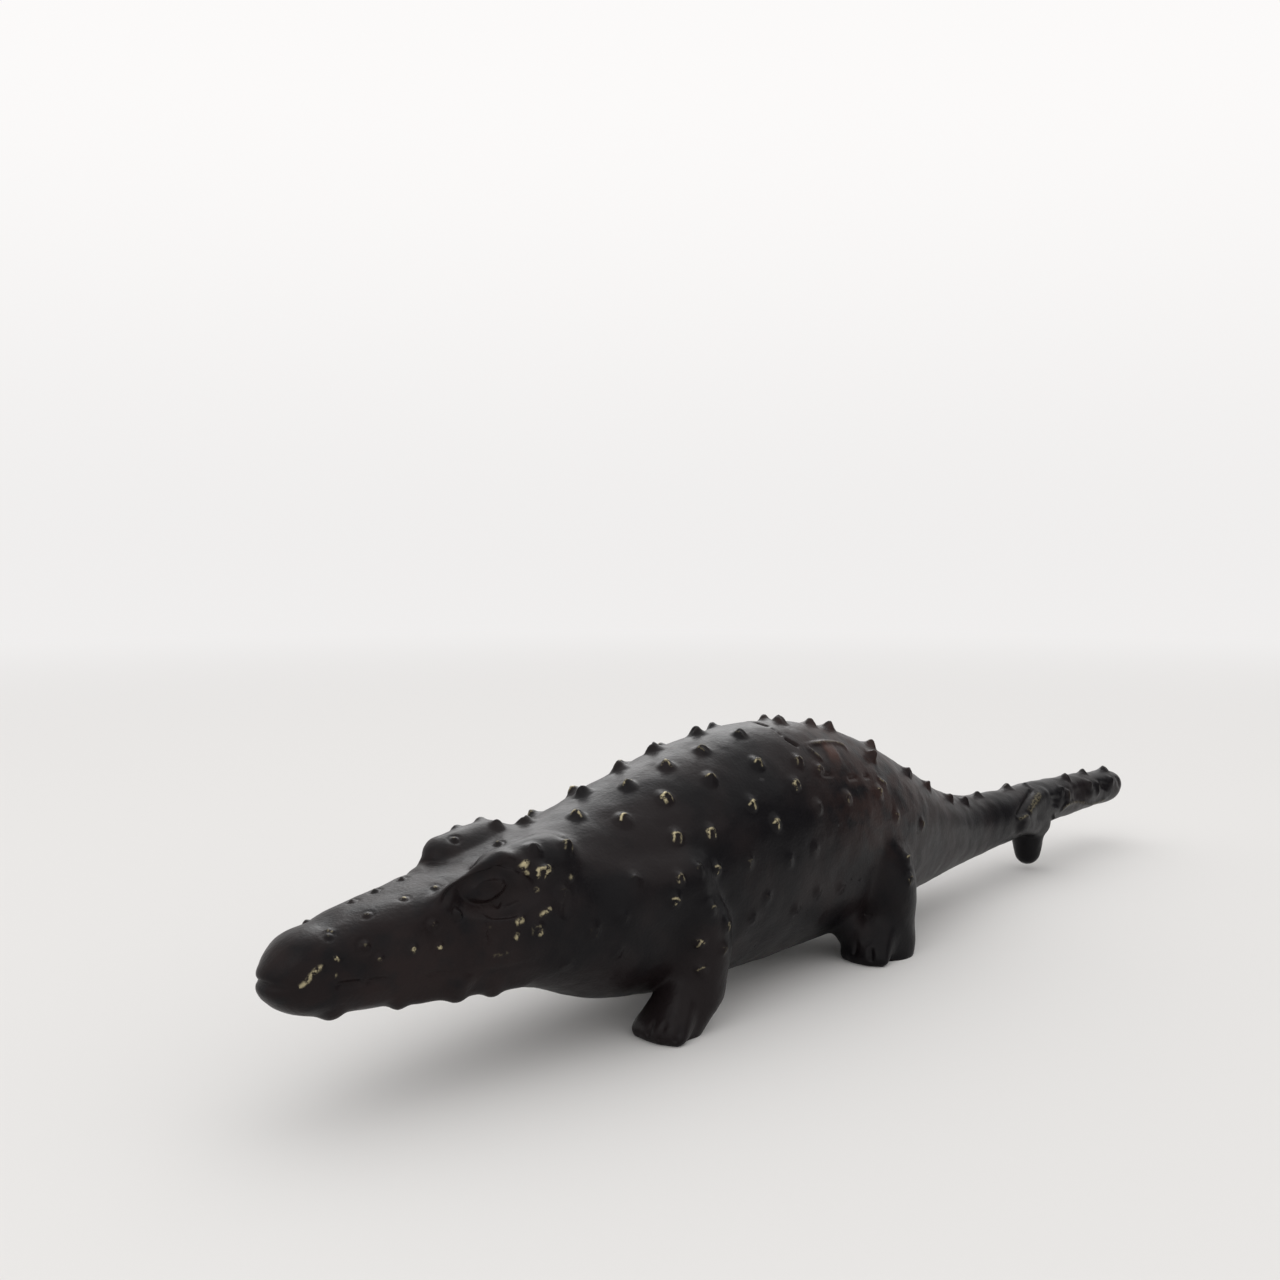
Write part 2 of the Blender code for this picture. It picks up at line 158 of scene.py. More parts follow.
def activate(obj: bpy.types.Object) -> None:
    """Selects one object alone and makes it active."""
    bpy.ops.object.select_all(action="DESELECT")
    obj.select_set(True)
    bpy.context.view_layer.objects.active = obj


def shape(obj: bpy.types.Object, kind: str, **settings: object) -> None:
    """Gives the active object a modifier and applies it.

    Args:
        obj: The active object.
        kind: The modifier's type.
        settings: Its settings.
    """
    modifier = obj.modifiers.new(kind.lower(), kind)
    for name, value in settings.items():
        setattr(modifier, name, value)
    bpy.ops.object.modifier_apply(modifier=modifier.name)


def points_of(obj: bpy.types.Object) -> Array:
    """The places of an object's points, one row for each."""
    points = np.empty(len(obj.data.vertices) * 3)
    obj.data.vertices.foreach_get("co", points)
    return points.reshape(-1, 3)


def face_outwards() -> None:
    """Turns every face of the object in edit mode outwards."""
    bpy.ops.mesh.select_all(action="SELECT")
    bpy.ops.mesh.normals_make_consistent(inside=False)


def shell(name: str, rule: Rule, sides: int, rings: int) -> bpy.types.Object:
    """A closed shell: a sphere whose points are drawn out by a rule.

    Args:
        name: The object's name.
        rule: Takes each point's share of the way from pole to pole, and its turn round the axis in radians,
            and gives its place in metres.
        sides: Points in a ring.
        rings: Rings from pole to pole.

    Returns:
        The shell's object, with its faces pointing outwards.
    """
    bpy.ops.object.select_all(action="DESELECT")
    bpy.ops.mesh.primitive_uv_sphere_add(segments=sides, ring_count=rings, radius=1)
    obj = bpy.context.active_object
    obj.name = name
    points = points_of(obj)
    share = np.arccos(np.clip(points[:, 2], -1, 1)) / math.pi
    turn = np.arctan2(points[:, 1], points[:, 0])
    obj.data.vertices.foreach_set("co", rule(share, turn).ravel())
    obj.data.update()
    bpy.ops.object.mode_set(mode="EDIT")
    face_outwards()
    bpy.ops.object.mode_set(mode="OBJECT")
    return obj


def pod(name: str, start: Vector, end: Vector, first_radius: float, last_radius: float) -> bpy.types.Object:
    """A capsule between two points, with a radius at each end.

    Args:
        name: The object's name.
        start: Middle of the first end, in metres.
        end: Middle of the last end.
        first_radius: Radius of the first end, as a share of the length.
        last_radius: Radius of the last end.

    Returns:
        The capsule's object.
    """
    axis = (end - start).normalized()
    across = axis.orthogonal().normalized()
    third = np.array(axis.cross(across))
    across, axis = np.array(across), np.array(axis)

    def rule(share: Array, turn: Array) -> Array:
        """A sphere pulled apart at its equator."""
        at_end = (share > 0.5)[:, None]
        radius = np.where(at_end, last_radius, first_radius) * LENGTH
        spread = np.sin(share * math.pi)[:, None]
        ring = across * np.cos(turn)[:, None] + third * np.sin(turn)[:, None]
        ball = ring * spread - axis * np.cos(share * math.pi)[:, None]
        return np.where(at_end, end, start) + radius * ball

    return shell(name, rule, *POD_FINENESS)


def limb(
    name: str,
    side: Side,
    spots: tuple[Spot, Spot],
    radii: tuple[float, float],
    forward: float = 0.0,
    drop: float = 0.0,
) -> bpy.types.Object:
    """A capsule between two places on one side of the animal.

    Args:
        name: The object's name.
        side: The side.
        spots: Middles of both ends, on the left.
        radii: Radii of both ends, as shares of the length.
        forward: How far it is moved towards the tail.
        drop: How far it is lowered.

    Returns:
        The capsule's object.
    """
    return pod(name, *(sided(spot, side, forward, drop) for spot in spots), *radii)


@dataclass
class Trunk:
    """Head, body and tail: one shell through level-headed stations.

    Attributes:
        stations: Along, top, bottom, half width and squareness of the section (2 is an ellipse).
        widest: How high the section is widest, from its bottom to its top.
        even: The share of the rings that are spaced evenly. The rest crowd towards both ends.
        fineness: Points in a ring, and rings.
    """

    stations: tuple = (
        (0.000, 0.086, 0.073, 0.006, 2.0),
        (0.010, 0.0968, 0.064, 0.017, 2.2),
        (0.040, 0.1046, 0.057, 0.026, 2.6),
        (0.085, 0.1130, 0.055, 0.034, 2.8),
        (0.125, 0.1195, 0.051, 0.043, 2.6),
        (0.165, 0.129, 0.041, 0.051, 2.4),
        (0.210, 0.138, 0.023, 0.057, 2.2),
        (0.260, 0.154, 0.013, 0.062, 2.1),
        (0.320, 0.170, 0.010, 0.065, 2.0),
        (0.385, 0.177, 0.010, 0.066, 2.0),
        (0.450, 0.170, 0.011, 0.064, 2.0),
        (0.510, 0.152, 0.014, 0.057, 2.0),
        (0.560, 0.129, 0.020, 0.047, 2.0),
        (0.610, 0.105, 0.025, 0.037, 2.0),
        (0.660, 0.089, 0.028, 0.028, 2.0),
        (0.740, 0.082, 0.033, 0.023, 2.0),
        (0.830, 0.081, 0.040, 0.020, 2.0),
        (0.920, 0.077, 0.042, 0.017, 2.0),
        (0.976, 0.072, 0.047, 0.013, 2.0),
        (0.988, 0.068, 0.053, 0.007, 2.0),
    )
    widest: float = 0.47
    even: float = 0.6
    fineness: tuple[int, int] = (144, 400)

    def skin(self, along: Array, turn: Array) -> Array:
        """Points of the trunk's skin.

        Args:
            along: Stations.
            turn: Turns in radians: 0 faces the left side, a quarter turn is the crest of the back.

        Returns:
            One point in metres for each station and turn.
        """
        top, bottom, half, square = smooth(self.stations, along).T
        middle = bottom + self.widest * (top - bottom)
        rise = power(np.sin(turn), 2 / square)
        up = middle + np.where(rise > 0, top - middle, middle - bottom) * rise
        return np.stack([along, -half * power(np.cos(turn), 2 / square), up], 1) * LENGTH

    def spot(self, along: float, degrees: float) -> Vector:
        """One point of the skin."""
        return Vector(self.skin(np.array([along]), np.array([math.radians(degrees)]))[0])

    def build(self) -> list[bpy.types.Object]:
        """The trunk's shell, with its rings closer together towards the snout and the tail's end."""
        first, last = self.stations[0][0], self.stations[-1][0]

        def rule(share: Array, turn: Array) -> Array:
            """Rings of the trunk, closed on their middle at the poles."""
            crowd = (1 - self.even) / 2 * (1 - np.cos(share * math.pi))
            along = first + (last - first) * (self.even * share + crowd)
            points = self.skin(along, turn)
            pole = (share < POLE) | (share > 1 - POLE)
            top, bottom = smooth(self.stations, along[pole])[:, :2].T
            points[pole, 1] = 0.0
            points[pole, 2] = (top + bottom) / 2 * LENGTH
            return points

        return [shell("trunk", rule, *self.fineness)]


@dataclass
class Leg:
    """One column leg with its foot: four toes that fan out and sink into the floor, where the sole is cut.

    Attributes:
        side: The side of the animal.
        rows: Up, along, aside and radius from the shoulder or hip down past the sole.
        foot: Along and aside of the toes' fan.
        stride: How far towards the tail this leg stands from its twin on the left.
        closing: How steeply the column closes at its ends.
        fineness: Points in a ring, and rings.
    """

    side: Side
    rows: tuple
    foot: tuple[float, float]
    stride: float = 0.0
    toe_angles: tuple = (-34, -9, 16, 42)
    toe_reach: float = 0.0295
    toe_radius: float = 0.0072
    toe_root: float = 0.15
    toe_up: float = 0.0046
    ankle_radius: float = 0.0145
    ankle_up: float = 0.024
    closing: float = 1e3
    fineness: tuple[int, int] = (64, 100)

    def build(self) -> list[bpy.types.Object]:
        """The column and its toes."""
        high, low = self.rows[0][0], self.rows[-1][0]

        def rule(share: Array, turn: Array) -> Array:
            """Level rings down the column, closed on their middle at the poles."""
            up = high + (low - high) * share
            along, aside, radius = smooth(self.rows, up).T
            radius = radius * np.clip(np.sin(share * math.pi) * self.closing, 0, 1)
            return np.stack(
                [
                    along + self.stride + radius * np.cos(turn),
                    -self.side.value * (aside + radius * np.sin(turn)),
                    up,
                ],
                1,
            ) * LENGTH

        return [shell("leg", rule, *self.fineness), *self.toes()]

    def toes(self) -> list[bpy.types.Object]:
        """Four toes from the ankle to the ground."""
        along, aside = self.foot
        reach = self.toe_reach - self.toe_radius
        radii = (self.ankle_radius, self.toe_radius)
        made = []
        for angle in self.toe_angles:
            ahead, out = math.cos(math.radians(angle)), math.sin(math.radians(angle))
            root = (along + self.toe_root * reach * ahead, aside, self.ankle_up)
            tip = (along - reach * ahead, aside + reach * out, self.toe_up)
            made.append(limb("toe", self.side, (root, tip), radii, self.stride))
        return made


FRONT_LEG = (
    (0.112, 0.250, 0.036, 0.010),
    (0.102, 0.252, 0.039, 0.020),
    (0.086, 0.259, 0.045, 0.026),
    (0.070, 0.268, 0.049, 0.025),
    (0.057, 0.272, 0.050, 0.023),
    (0.034, 0.271, 0.050, 0.0208),
    (0.018, 0.268, 0.050, 0.0203),
    (0.006, 0.260, 0.049, 0.0178),
    (-0.008, 0.251, 0.048, 0.0150),
)
REAR_LEG = (
    (0.106, 0.474, 0.034, 0.010),
    (0.088, 0.476, 0.039, 0.023),
    (0.064, 0.480, 0.045, 0.028),
    (0.042, 0.483, 0.049, 0.025),
    (0.024, 0.484, 0.049, 0.0228),
    (0.010, 0.484, 0.050, 0.0228),
    (-0.008, 0.480, 0.050, 0.0215),
)
FRONT_FOOT = (0.2555, 0.0505)
REAR_FOOT = (0.4695, 0.0535)
STRIDE = 0.050


@dataclass
class Shoulder:
    """The mass that a front leg grows out of, half sunk in the trunk."""

    side: Side
    stride: float = 0.0
    mass: tuple[Spot, Spot] = ((0.212, 0.034, 0.088), (0.256, 0.041, 0.090))
    mass_radius: float = 0.029
    blade: tuple[Spot, Spot] = ((0.268, 0.043, 0.099), (0.2665, 0.049, 0.072))
    blade_radius: float = 0.0212

    def build(self) -> list[bpy.types.Object]:
        """The mass and the blade that makes the leg's back edge."""
        parts = (("shoulder", self.mass, self.mass_radius), ("blade", self.blade, self.blade_radius))
        return [limb(name, self.side, spots, (radius, radius), self.stride) for name, spots, radius in parts]


@dataclass
class Head:
    """What stands out of the head: the domes over the eyes, the upper lids' ridges and the jaw's bumps."""

    trunk: Trunk
    brow: tuple[Spot, Spot] = ((0.134, 0.025, 0.1145), (0.168, 0.026, 0.1150))
    brow_radii: tuple[float, float] = (0.0160, 0.0210)
    lid: tuple[Spot, Spot] = ((0.094, 0.030, 0.110), (0.132, 0.031, 0.125))
    lid_radii: tuple[float, float] = (0.0075, 0.0075)
    right_lid_drop: float = 0.013
    chin_bumps: tuple = (
        (0.034, 0.45, 0.0125),
        (0.069, 0.68, 0.0076),
        (0.102, 0.72, 0.0112),
        (0.125, 0.70, 0.0088),
    )
    chin_tip: tuple[float, float] = (0.48, 0.7)
    jaw_pad: tuple[Spot, Spot] = ((0.078, 0.0215, 0.0640), (0.144, 0.0315, 0.0595))
    jaw_pad_radii: tuple[float, float] = (0.0086, 0.0086)

    def build(self) -> list[bpy.types.Object]:
        """Both sides' domes, lids and bumps."""
        made = []
        for side in Side:
            drop = self.right_lid_drop if side is Side.RIGHT else 0.0
            made.append(limb("brow", side, self.brow, self.brow_radii))
            made.append(limb("lid", side, self.lid, self.lid_radii, drop=drop))
            made.append(limb("jaw pad", side, self.jaw_pad, self.jaw_pad_radii))
            for along, out, radius in self.chin_bumps:
                _, bottom, half, _ = smooth(self.trunk.stations, along)[0]
                up, share = self.chin_tip
                ends = tuple((along, out * half, bottom + rise * radius) for rise in (1.0, up))
                made.append(limb("chin bump", side, ends, (radius, share * radius)))
        return made


@dataclass
class TailPeg:
    """The rounded peg under the tail and the saddle that slants down to it on each side."""

    high: Spot = (0.799, 0.0, 0.047)
    low: Spot = (0.799, 0.0, 0.0160)
    radii: tuple[float, float] = (0.0178, 0.0122)
    saddle_top: Spot = (0.802, 0.008, 0.069)
    saddle_foot: Spot = (0.744, 0.019, 0.053)
    saddle_root: Spot = (0.800, 0.004, 0.047)
    saddle_radii: tuple[float, float] = (0.011, 0.008)

    def build(self) -> list[bpy.types.Object]:
        """The peg and both sides of the saddle."""
        made = [pod("peg", place(*self.high), place(*self.low), *self.radii)]
        for side in Side:
            made.append(limb("saddle", side, (self.saddle_top, self.saddle_foot), self.saddle_radii))
            radii = (self.saddle_radii[1], self.radii[0])
            made.append(limb("saddle root", side, (self.saddle_foot, self.saddle_root), radii))
        return made


@dataclass
class KneeWeb:
    """The web in front of a rear leg, from the belly down to the foot."""

    side: Side
    stride: float = 0.0
    ends: tuple[Spot, Spot] = ((0.446, 0.041, 0.029), (0.459, 0.044, 0.013))
    radius: float = 0.0125

    def build(self) -> list[bpy.types.Object]:
        """One capsule."""
        return [limb("knee web", self.side, self.ends, (self.radius, self.radius), self.stride)]


@dataclass
class Skin:
    """The fused casting as arrays that strokes push in or out.

    Attributes:
        obj: The casting's object.
        points: Its points, in metres from the snout's tip.
        normals: The points' normals.
        wear_and_highlight: 0 where the patina is whole, 1 where the metal is bare. On knob and ridge crests
            it is partly real wear and partly a painted highlight.
        rust: 0 to 1 where the patina is reddish.
    """

    obj: bpy.types.Object
    points: Array = field(init=False)
    normals: Array = field(init=False)
    wear_and_highlight: Array = field(init=False)
    rust: Array = field(init=False)

    def __post_init__(self) -> None:
        """Reads the object's mesh."""
        self.points = points_of(self.obj)
        self.wear_and_highlight = np.zeros(len(self.points))
        self.rust = np.zeros(len(self.points))
        self.read_normals()

    def read_normals(self) -> None:
        """Reads the normals of the mesh as it stands."""
        normals = np.empty(len(self.points) * 3, np.float32)
        self.obj.data.vertex_normals.foreach_get("vector", normals)
        self.normals = normals.reshape(-1, 3).astype(float)

    def shares(self) -> tuple[Array, Array, Array]:
        """Along, aside and up of every point."""
        return self.points[:, 0] / LENGTH, -self.points[:, 1] / LENGTH, self.points[:, 2] / LENGTH

    def settle(self) -> None:
        """Writes the points to the mesh and reads the normals again."""
        self.obj.data.vertices.foreach_set("co", self.points.ravel())
        self.obj.data.update()
        self.read_normals()

    def push(self, amount: Array, direction: Array | None = None) -> None:
        """Moves the points along their normals, or along one direction.

        Args:
            amount: How far each point moves, in metres, outwards where it is positive.
            direction: The one direction, or None for the normals.
        """
        self.points += amount[:, None] * (self.normals if direction is None else direction)
        self.settle()

    def tree(self) -> BVHTree:
        """A search tree of the skin as it stands."""
        self.settle()
        return BVHTree.FromObject(self.obj, bpy.context.evaluated_depsgraph_get())


@dataclass
class Casting:
    """The shells fused into one skin, and the skin made a finished piece.

    Attributes:
        grain: Size of the voxels that fuse the shells, in metres.
        softenings: Rounds of smoothing over the whole skin.
        dents: How wide the dents are and how deep, in metres, large ones and small ones.
        meltings: Rounds of smoothing where joins are melted.
        melt_steps: Steps in which the melting fades towards its edge.
        melt_edge: The share of a melted place's radius over which it fades.
        sole_gap: How close a point is to the floor to be on it.
    """

    grain: float = 0.00050
    softenings: int = 80
    triangles: int = 196_000
    dents: tuple = ((0.020, 0.0012), (0.0075, 0.00040))
    meltings: int = 260
    melt_steps: int = 10
    melt_edge: float = 0.5
    sole_gap: float = 1e-6

    def fuse(self, shells: list[bpy.types.Object], melts: list[tuple[Vector, float]]) -> Skin:
        """One skin of all shells.

        Args:
            shells: Closed shells that overlap where they join.
            melts: Middles and radii, in metres, of the places where the joins are smoothed right away.

        Returns:
            The skin, with its joins softened.
        """
        activate(shells[0])
        for obj in shells:
            obj.select_set(True)
        bpy.ops.object.join()
        obj = bpy.context.active_object
        obj.name = CASTING + "_casting"
        obj.data.name = obj.name
        shape(obj, "REMESH", mode="VOXEL", voxel_size=self.grain)
        shape(obj, "SMOOTH", factor=0.5, iterations=self.softenings)
        self.melt(obj, melts)
        for scale, depth in self.dents:
            self.dent(obj, scale, depth)
        return Skin(obj)

    def melt(self, obj: bpy.types.Object, melts: list[tuple[Vector, float]]) -> None:
        """Smooths the active object in some places.

        Args:
            obj: The object.
            melts: Middle and radius of each place.
        """
        points = points_of(obj)
        held = np.zeros(len(points))
        for middle, radius in melts:
            far = np.linalg.norm(points - np.array(middle), axis=1) / radius
            held = np.maximum(held, ease((1 - far) / self.melt_edge))
        group = obj.vertex_groups.new(name="melt")
        steps = np.ceil(held * self.melt_steps).astype(int)
        for step in range(1, self.melt_steps + 1):
            group.add(np.flatnonzero(steps == step).tolist(), step / self.melt_steps, "REPLACE")
        shape(obj, "SMOOTH", factor=0.5, iterations=self.meltings, vertex_group=group.name)

    @staticmethod
    def dent(obj: bpy.types.Object, scale: float, depth: float) -> None:
        """Makes the active object's skin as uneven as hand-pressed wax.

        Args:
            obj: The object.
            scale: How wide the dents are, in metres.
            depth: From the lowest to the highest, in metres.
        """
        clouds = bpy.data.textures.new("dents", "CLOUDS")
        clouds.noise_scale = scale
        shape(obj, "DISPLACE", texture=clouds, texture_coords="LOCAL", strength=depth, mid_level=0.5)

    def finish(self, skin: Skin) -> bpy.types.Object:
        """Thins the skin, cuts the soles flat and brings the casting to the solid's place.

        Args:
            skin: The carved skin.

        Returns:
            The finished piece, with its wear and painted highlights, and its rust, as attributes of its
            points.
        """
        obj = skin.obj
        fine = KDTree(len(skin.points))
        for i, point in enumerate(skin.points):
            fine.insert(point, i)
        fine.balance()
        activate(obj)
        ratio = self.triangles / (2 * len(obj.data.polygons))
        shape(obj, "DECIMATE", ratio=ratio, use_collapse_triangulate=True)
        nearest = [fine.find(vert.co)[1] for vert in obj.data.vertices]
        for name, values in (("wear_and_highlight", skin.wear_and_highlight), ("rust", skin.rust)):
            layer = obj.data.attributes.new(name, "FLOAT", "POINT")
            layer.data.foreach_set("value", values[nearest].astype(np.float32))
        self.cut_soles()
        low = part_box(CASTING)[0]
        tip = min(vert.co.x for vert in obj.data.vertices)
        obj.location.x = low.x - tip
        bpy.ops.object.transform_apply(location=True, rotation=True, scale=True)
        obj.data.shade_smooth()
        return obj

    def cut_soles(self) -> None:
        """Cuts the active object at the floor and closes the soles."""
        bpy.ops.object.mode_set(mode="EDIT")
        bpy.ops.mesh.select_all(action="SELECT")
        bpy.ops.mesh.bisect(
            plane_co=(0, 0, 0),
            plane_no=(0, 0, 1),
            use_fill=True,
            clear_inner=True,
            threshold=self.sole_gap,
        )
        bpy.ops.mesh.quads_convert_to_tris()
        face_outwards()
        bpy.ops.object.mode_set(mode="OBJECT")


@dataclass
class Knob:
    """One pinched knob, or a low dot in a ring.

    Attributes:
        core: A point inside the casting.
        spot: A point that the knob stands in front of, seen from the core.
        height: How far its tip stands out.
        radius: Half its width at the skin.
        pinch: How it was pinched, or None for a dot in a ring.
        turn: How its ridges are turned, in radians.
        wear_and_highlight: How bare its ridges are, 0 to 1: partly real wear and partly a painted highlight
            on the ridges.
        line: Half the width of a ridge, as a share of the radius.
        arc: Height of the arc above the knob's middle, how it bows and half its length, in radii.
        splay: How much the ridges below the arc spread.
        foot: How low those ridges run, in radii.
        squat: How much wider the body is than high.
        dome: Share and steepness of the body's round part.
        peak: Share and power of its pointed part.
        ridges: Lift of the body between its ridges, what they add, and their width in lines.
        rubbed_and_highlit: How far up the body the wear and painted highlight start, and over what share
            they grow.
        swell: Lift of the whole dot.
        ring: Depth, radius and width of the ring round the dot.
        boss: Lift and radius of the dot's middle.
        polish: Radius of the dot's wear, and over what share it grows.
        reach: How far from its middle the skin is looked at, in radii.
    """

    core: Vector
    spot: Vector
    height: float
    radius: float
    pinch: Pinch | None = Pinch.TEE
    turn: float = 0.0
    wear_and_highlight: float = 0.5
    line: float = 0.11
    arc: tuple[float, float, float] = (0.20, 0.75, 0.42)
    splay: float = 0.25
    foot: float = -0.55
    squat: float = 0.92
    dome: tuple[float, float] = (0.6, 1.1)
    peak: tuple[float, float] = (0.4, 1.3)
    ridges: tuple[float, float, float] = (0.66, 0.36, 1.7)
    rubbed_and_highlit: tuple[float, float] = (0.22, 0.25)
    swell: float = 0.30
    ring: tuple[float, float, float] = (0.42, 0.58, 0.20)
    boss: tuple[float, float] = (0.50, 0.45)
    polish: tuple[float, float] = (0.30, 0.20)
    reach: float = 1.5

    def stamp(self, skin: Skin, tree: BVHTree) -> None:
        """Lifts the knob out of the skin.

        Args:
            skin: The skin.
            tree: Its search tree.
        """
        point, normal, _, _ = tree.ray_cast(self.core, (self.spot - self.core).normalized())
        if point is None:
            point, normal, _, _ = tree.find_nearest(self.spot)
        normal = np.array(normal)
        ahead = np.array((1.0, 0.0, 0.0)) - normal[0] * normal
        ahead /= np.linalg.norm(ahead)
        rise = np.cross(normal, ahead)
        rise *= 1.0 if rise[2] >= 0 else -1.0
        offset = skin.points - np.array(point)
        near = np.flatnonzero((offset**2).sum(1) < (self.reach * self.radius) ** 2)
        u, v = offset[near] @ ahead / self.radius, offset[near] @ rise / self.radius
        cos, sin = math.cos(self.turn), math.sin(self.turn)
        u, v = u * cos + v * sin, v * cos - u * sin
        lift, bare_and_highlit = self.dot(np.hypot(u, v)) if self.pinch is None else self.pinched(u, v)
        skin.points[near] += (self.height * lift)[:, None] * normal
        skin.wear_and_highlight[near] = np.maximum(skin.wear_and_highlight[near], self.wear_and_highlight * bare_and_highlit)

    def dot(self, far: Array) -> tuple[Array, Array]:
        """Lift and wear of a dot in a ring, at distances from its middle."""
        depth, middle, width = self.ring
        ring = depth * np.exp(-(((far - middle) / width) ** 2))
        lift = self.swell * ease(1 - far) - ring + self.boss[0] * ease(1 - far / self.boss[1])
        return lift, ease((self.polish[0] - far) / self.polish[1])

    def pinched(self, u: Array, v: Array) -> tuple[Array, Array]:
        """Lift of a pinched knob, and its wear and painted highlight along the ridges.

        Args:
            u: Places along the animal, as shares of the radius.
            v: Places up the flank.

        Returns:
            The lift as a share of the height, and the wear and painted highlight.
        """
        top, bow, half = self.arc
        along = np.clip(u, -half, half)
        gap = np.hypot(u - along, v - top + bow * along**2)
        for lean in self.pinch.value:
            down = np.clip(v, self.foot, top)
            gap = np.minimum(gap, np.hypot(u - lean - self.splay * lean * (top - down), v - down))
        body = np.clip(1 - np.hypot(u, self.squat * v), 0, 1)
        between, added, width = self.ridges
        ridge = np.exp(-((gap / (width * self.line)) ** 2))
        form = self.dome[0] * ease(self.dome[1] * body) + self.peak[0] * body ** self.peak[1]
        start, grown = self.rubbed_and_highlit
        # Bare metal along the ridges near the tip: partly real wear, partly a painted highlight where light
        # catches the crests.
        bare_and_highlit = np.exp(-((gap / self.line) ** 2)) * ease((body - start) / grown)
        return form * (between + added * ridge), bare_and_highlit


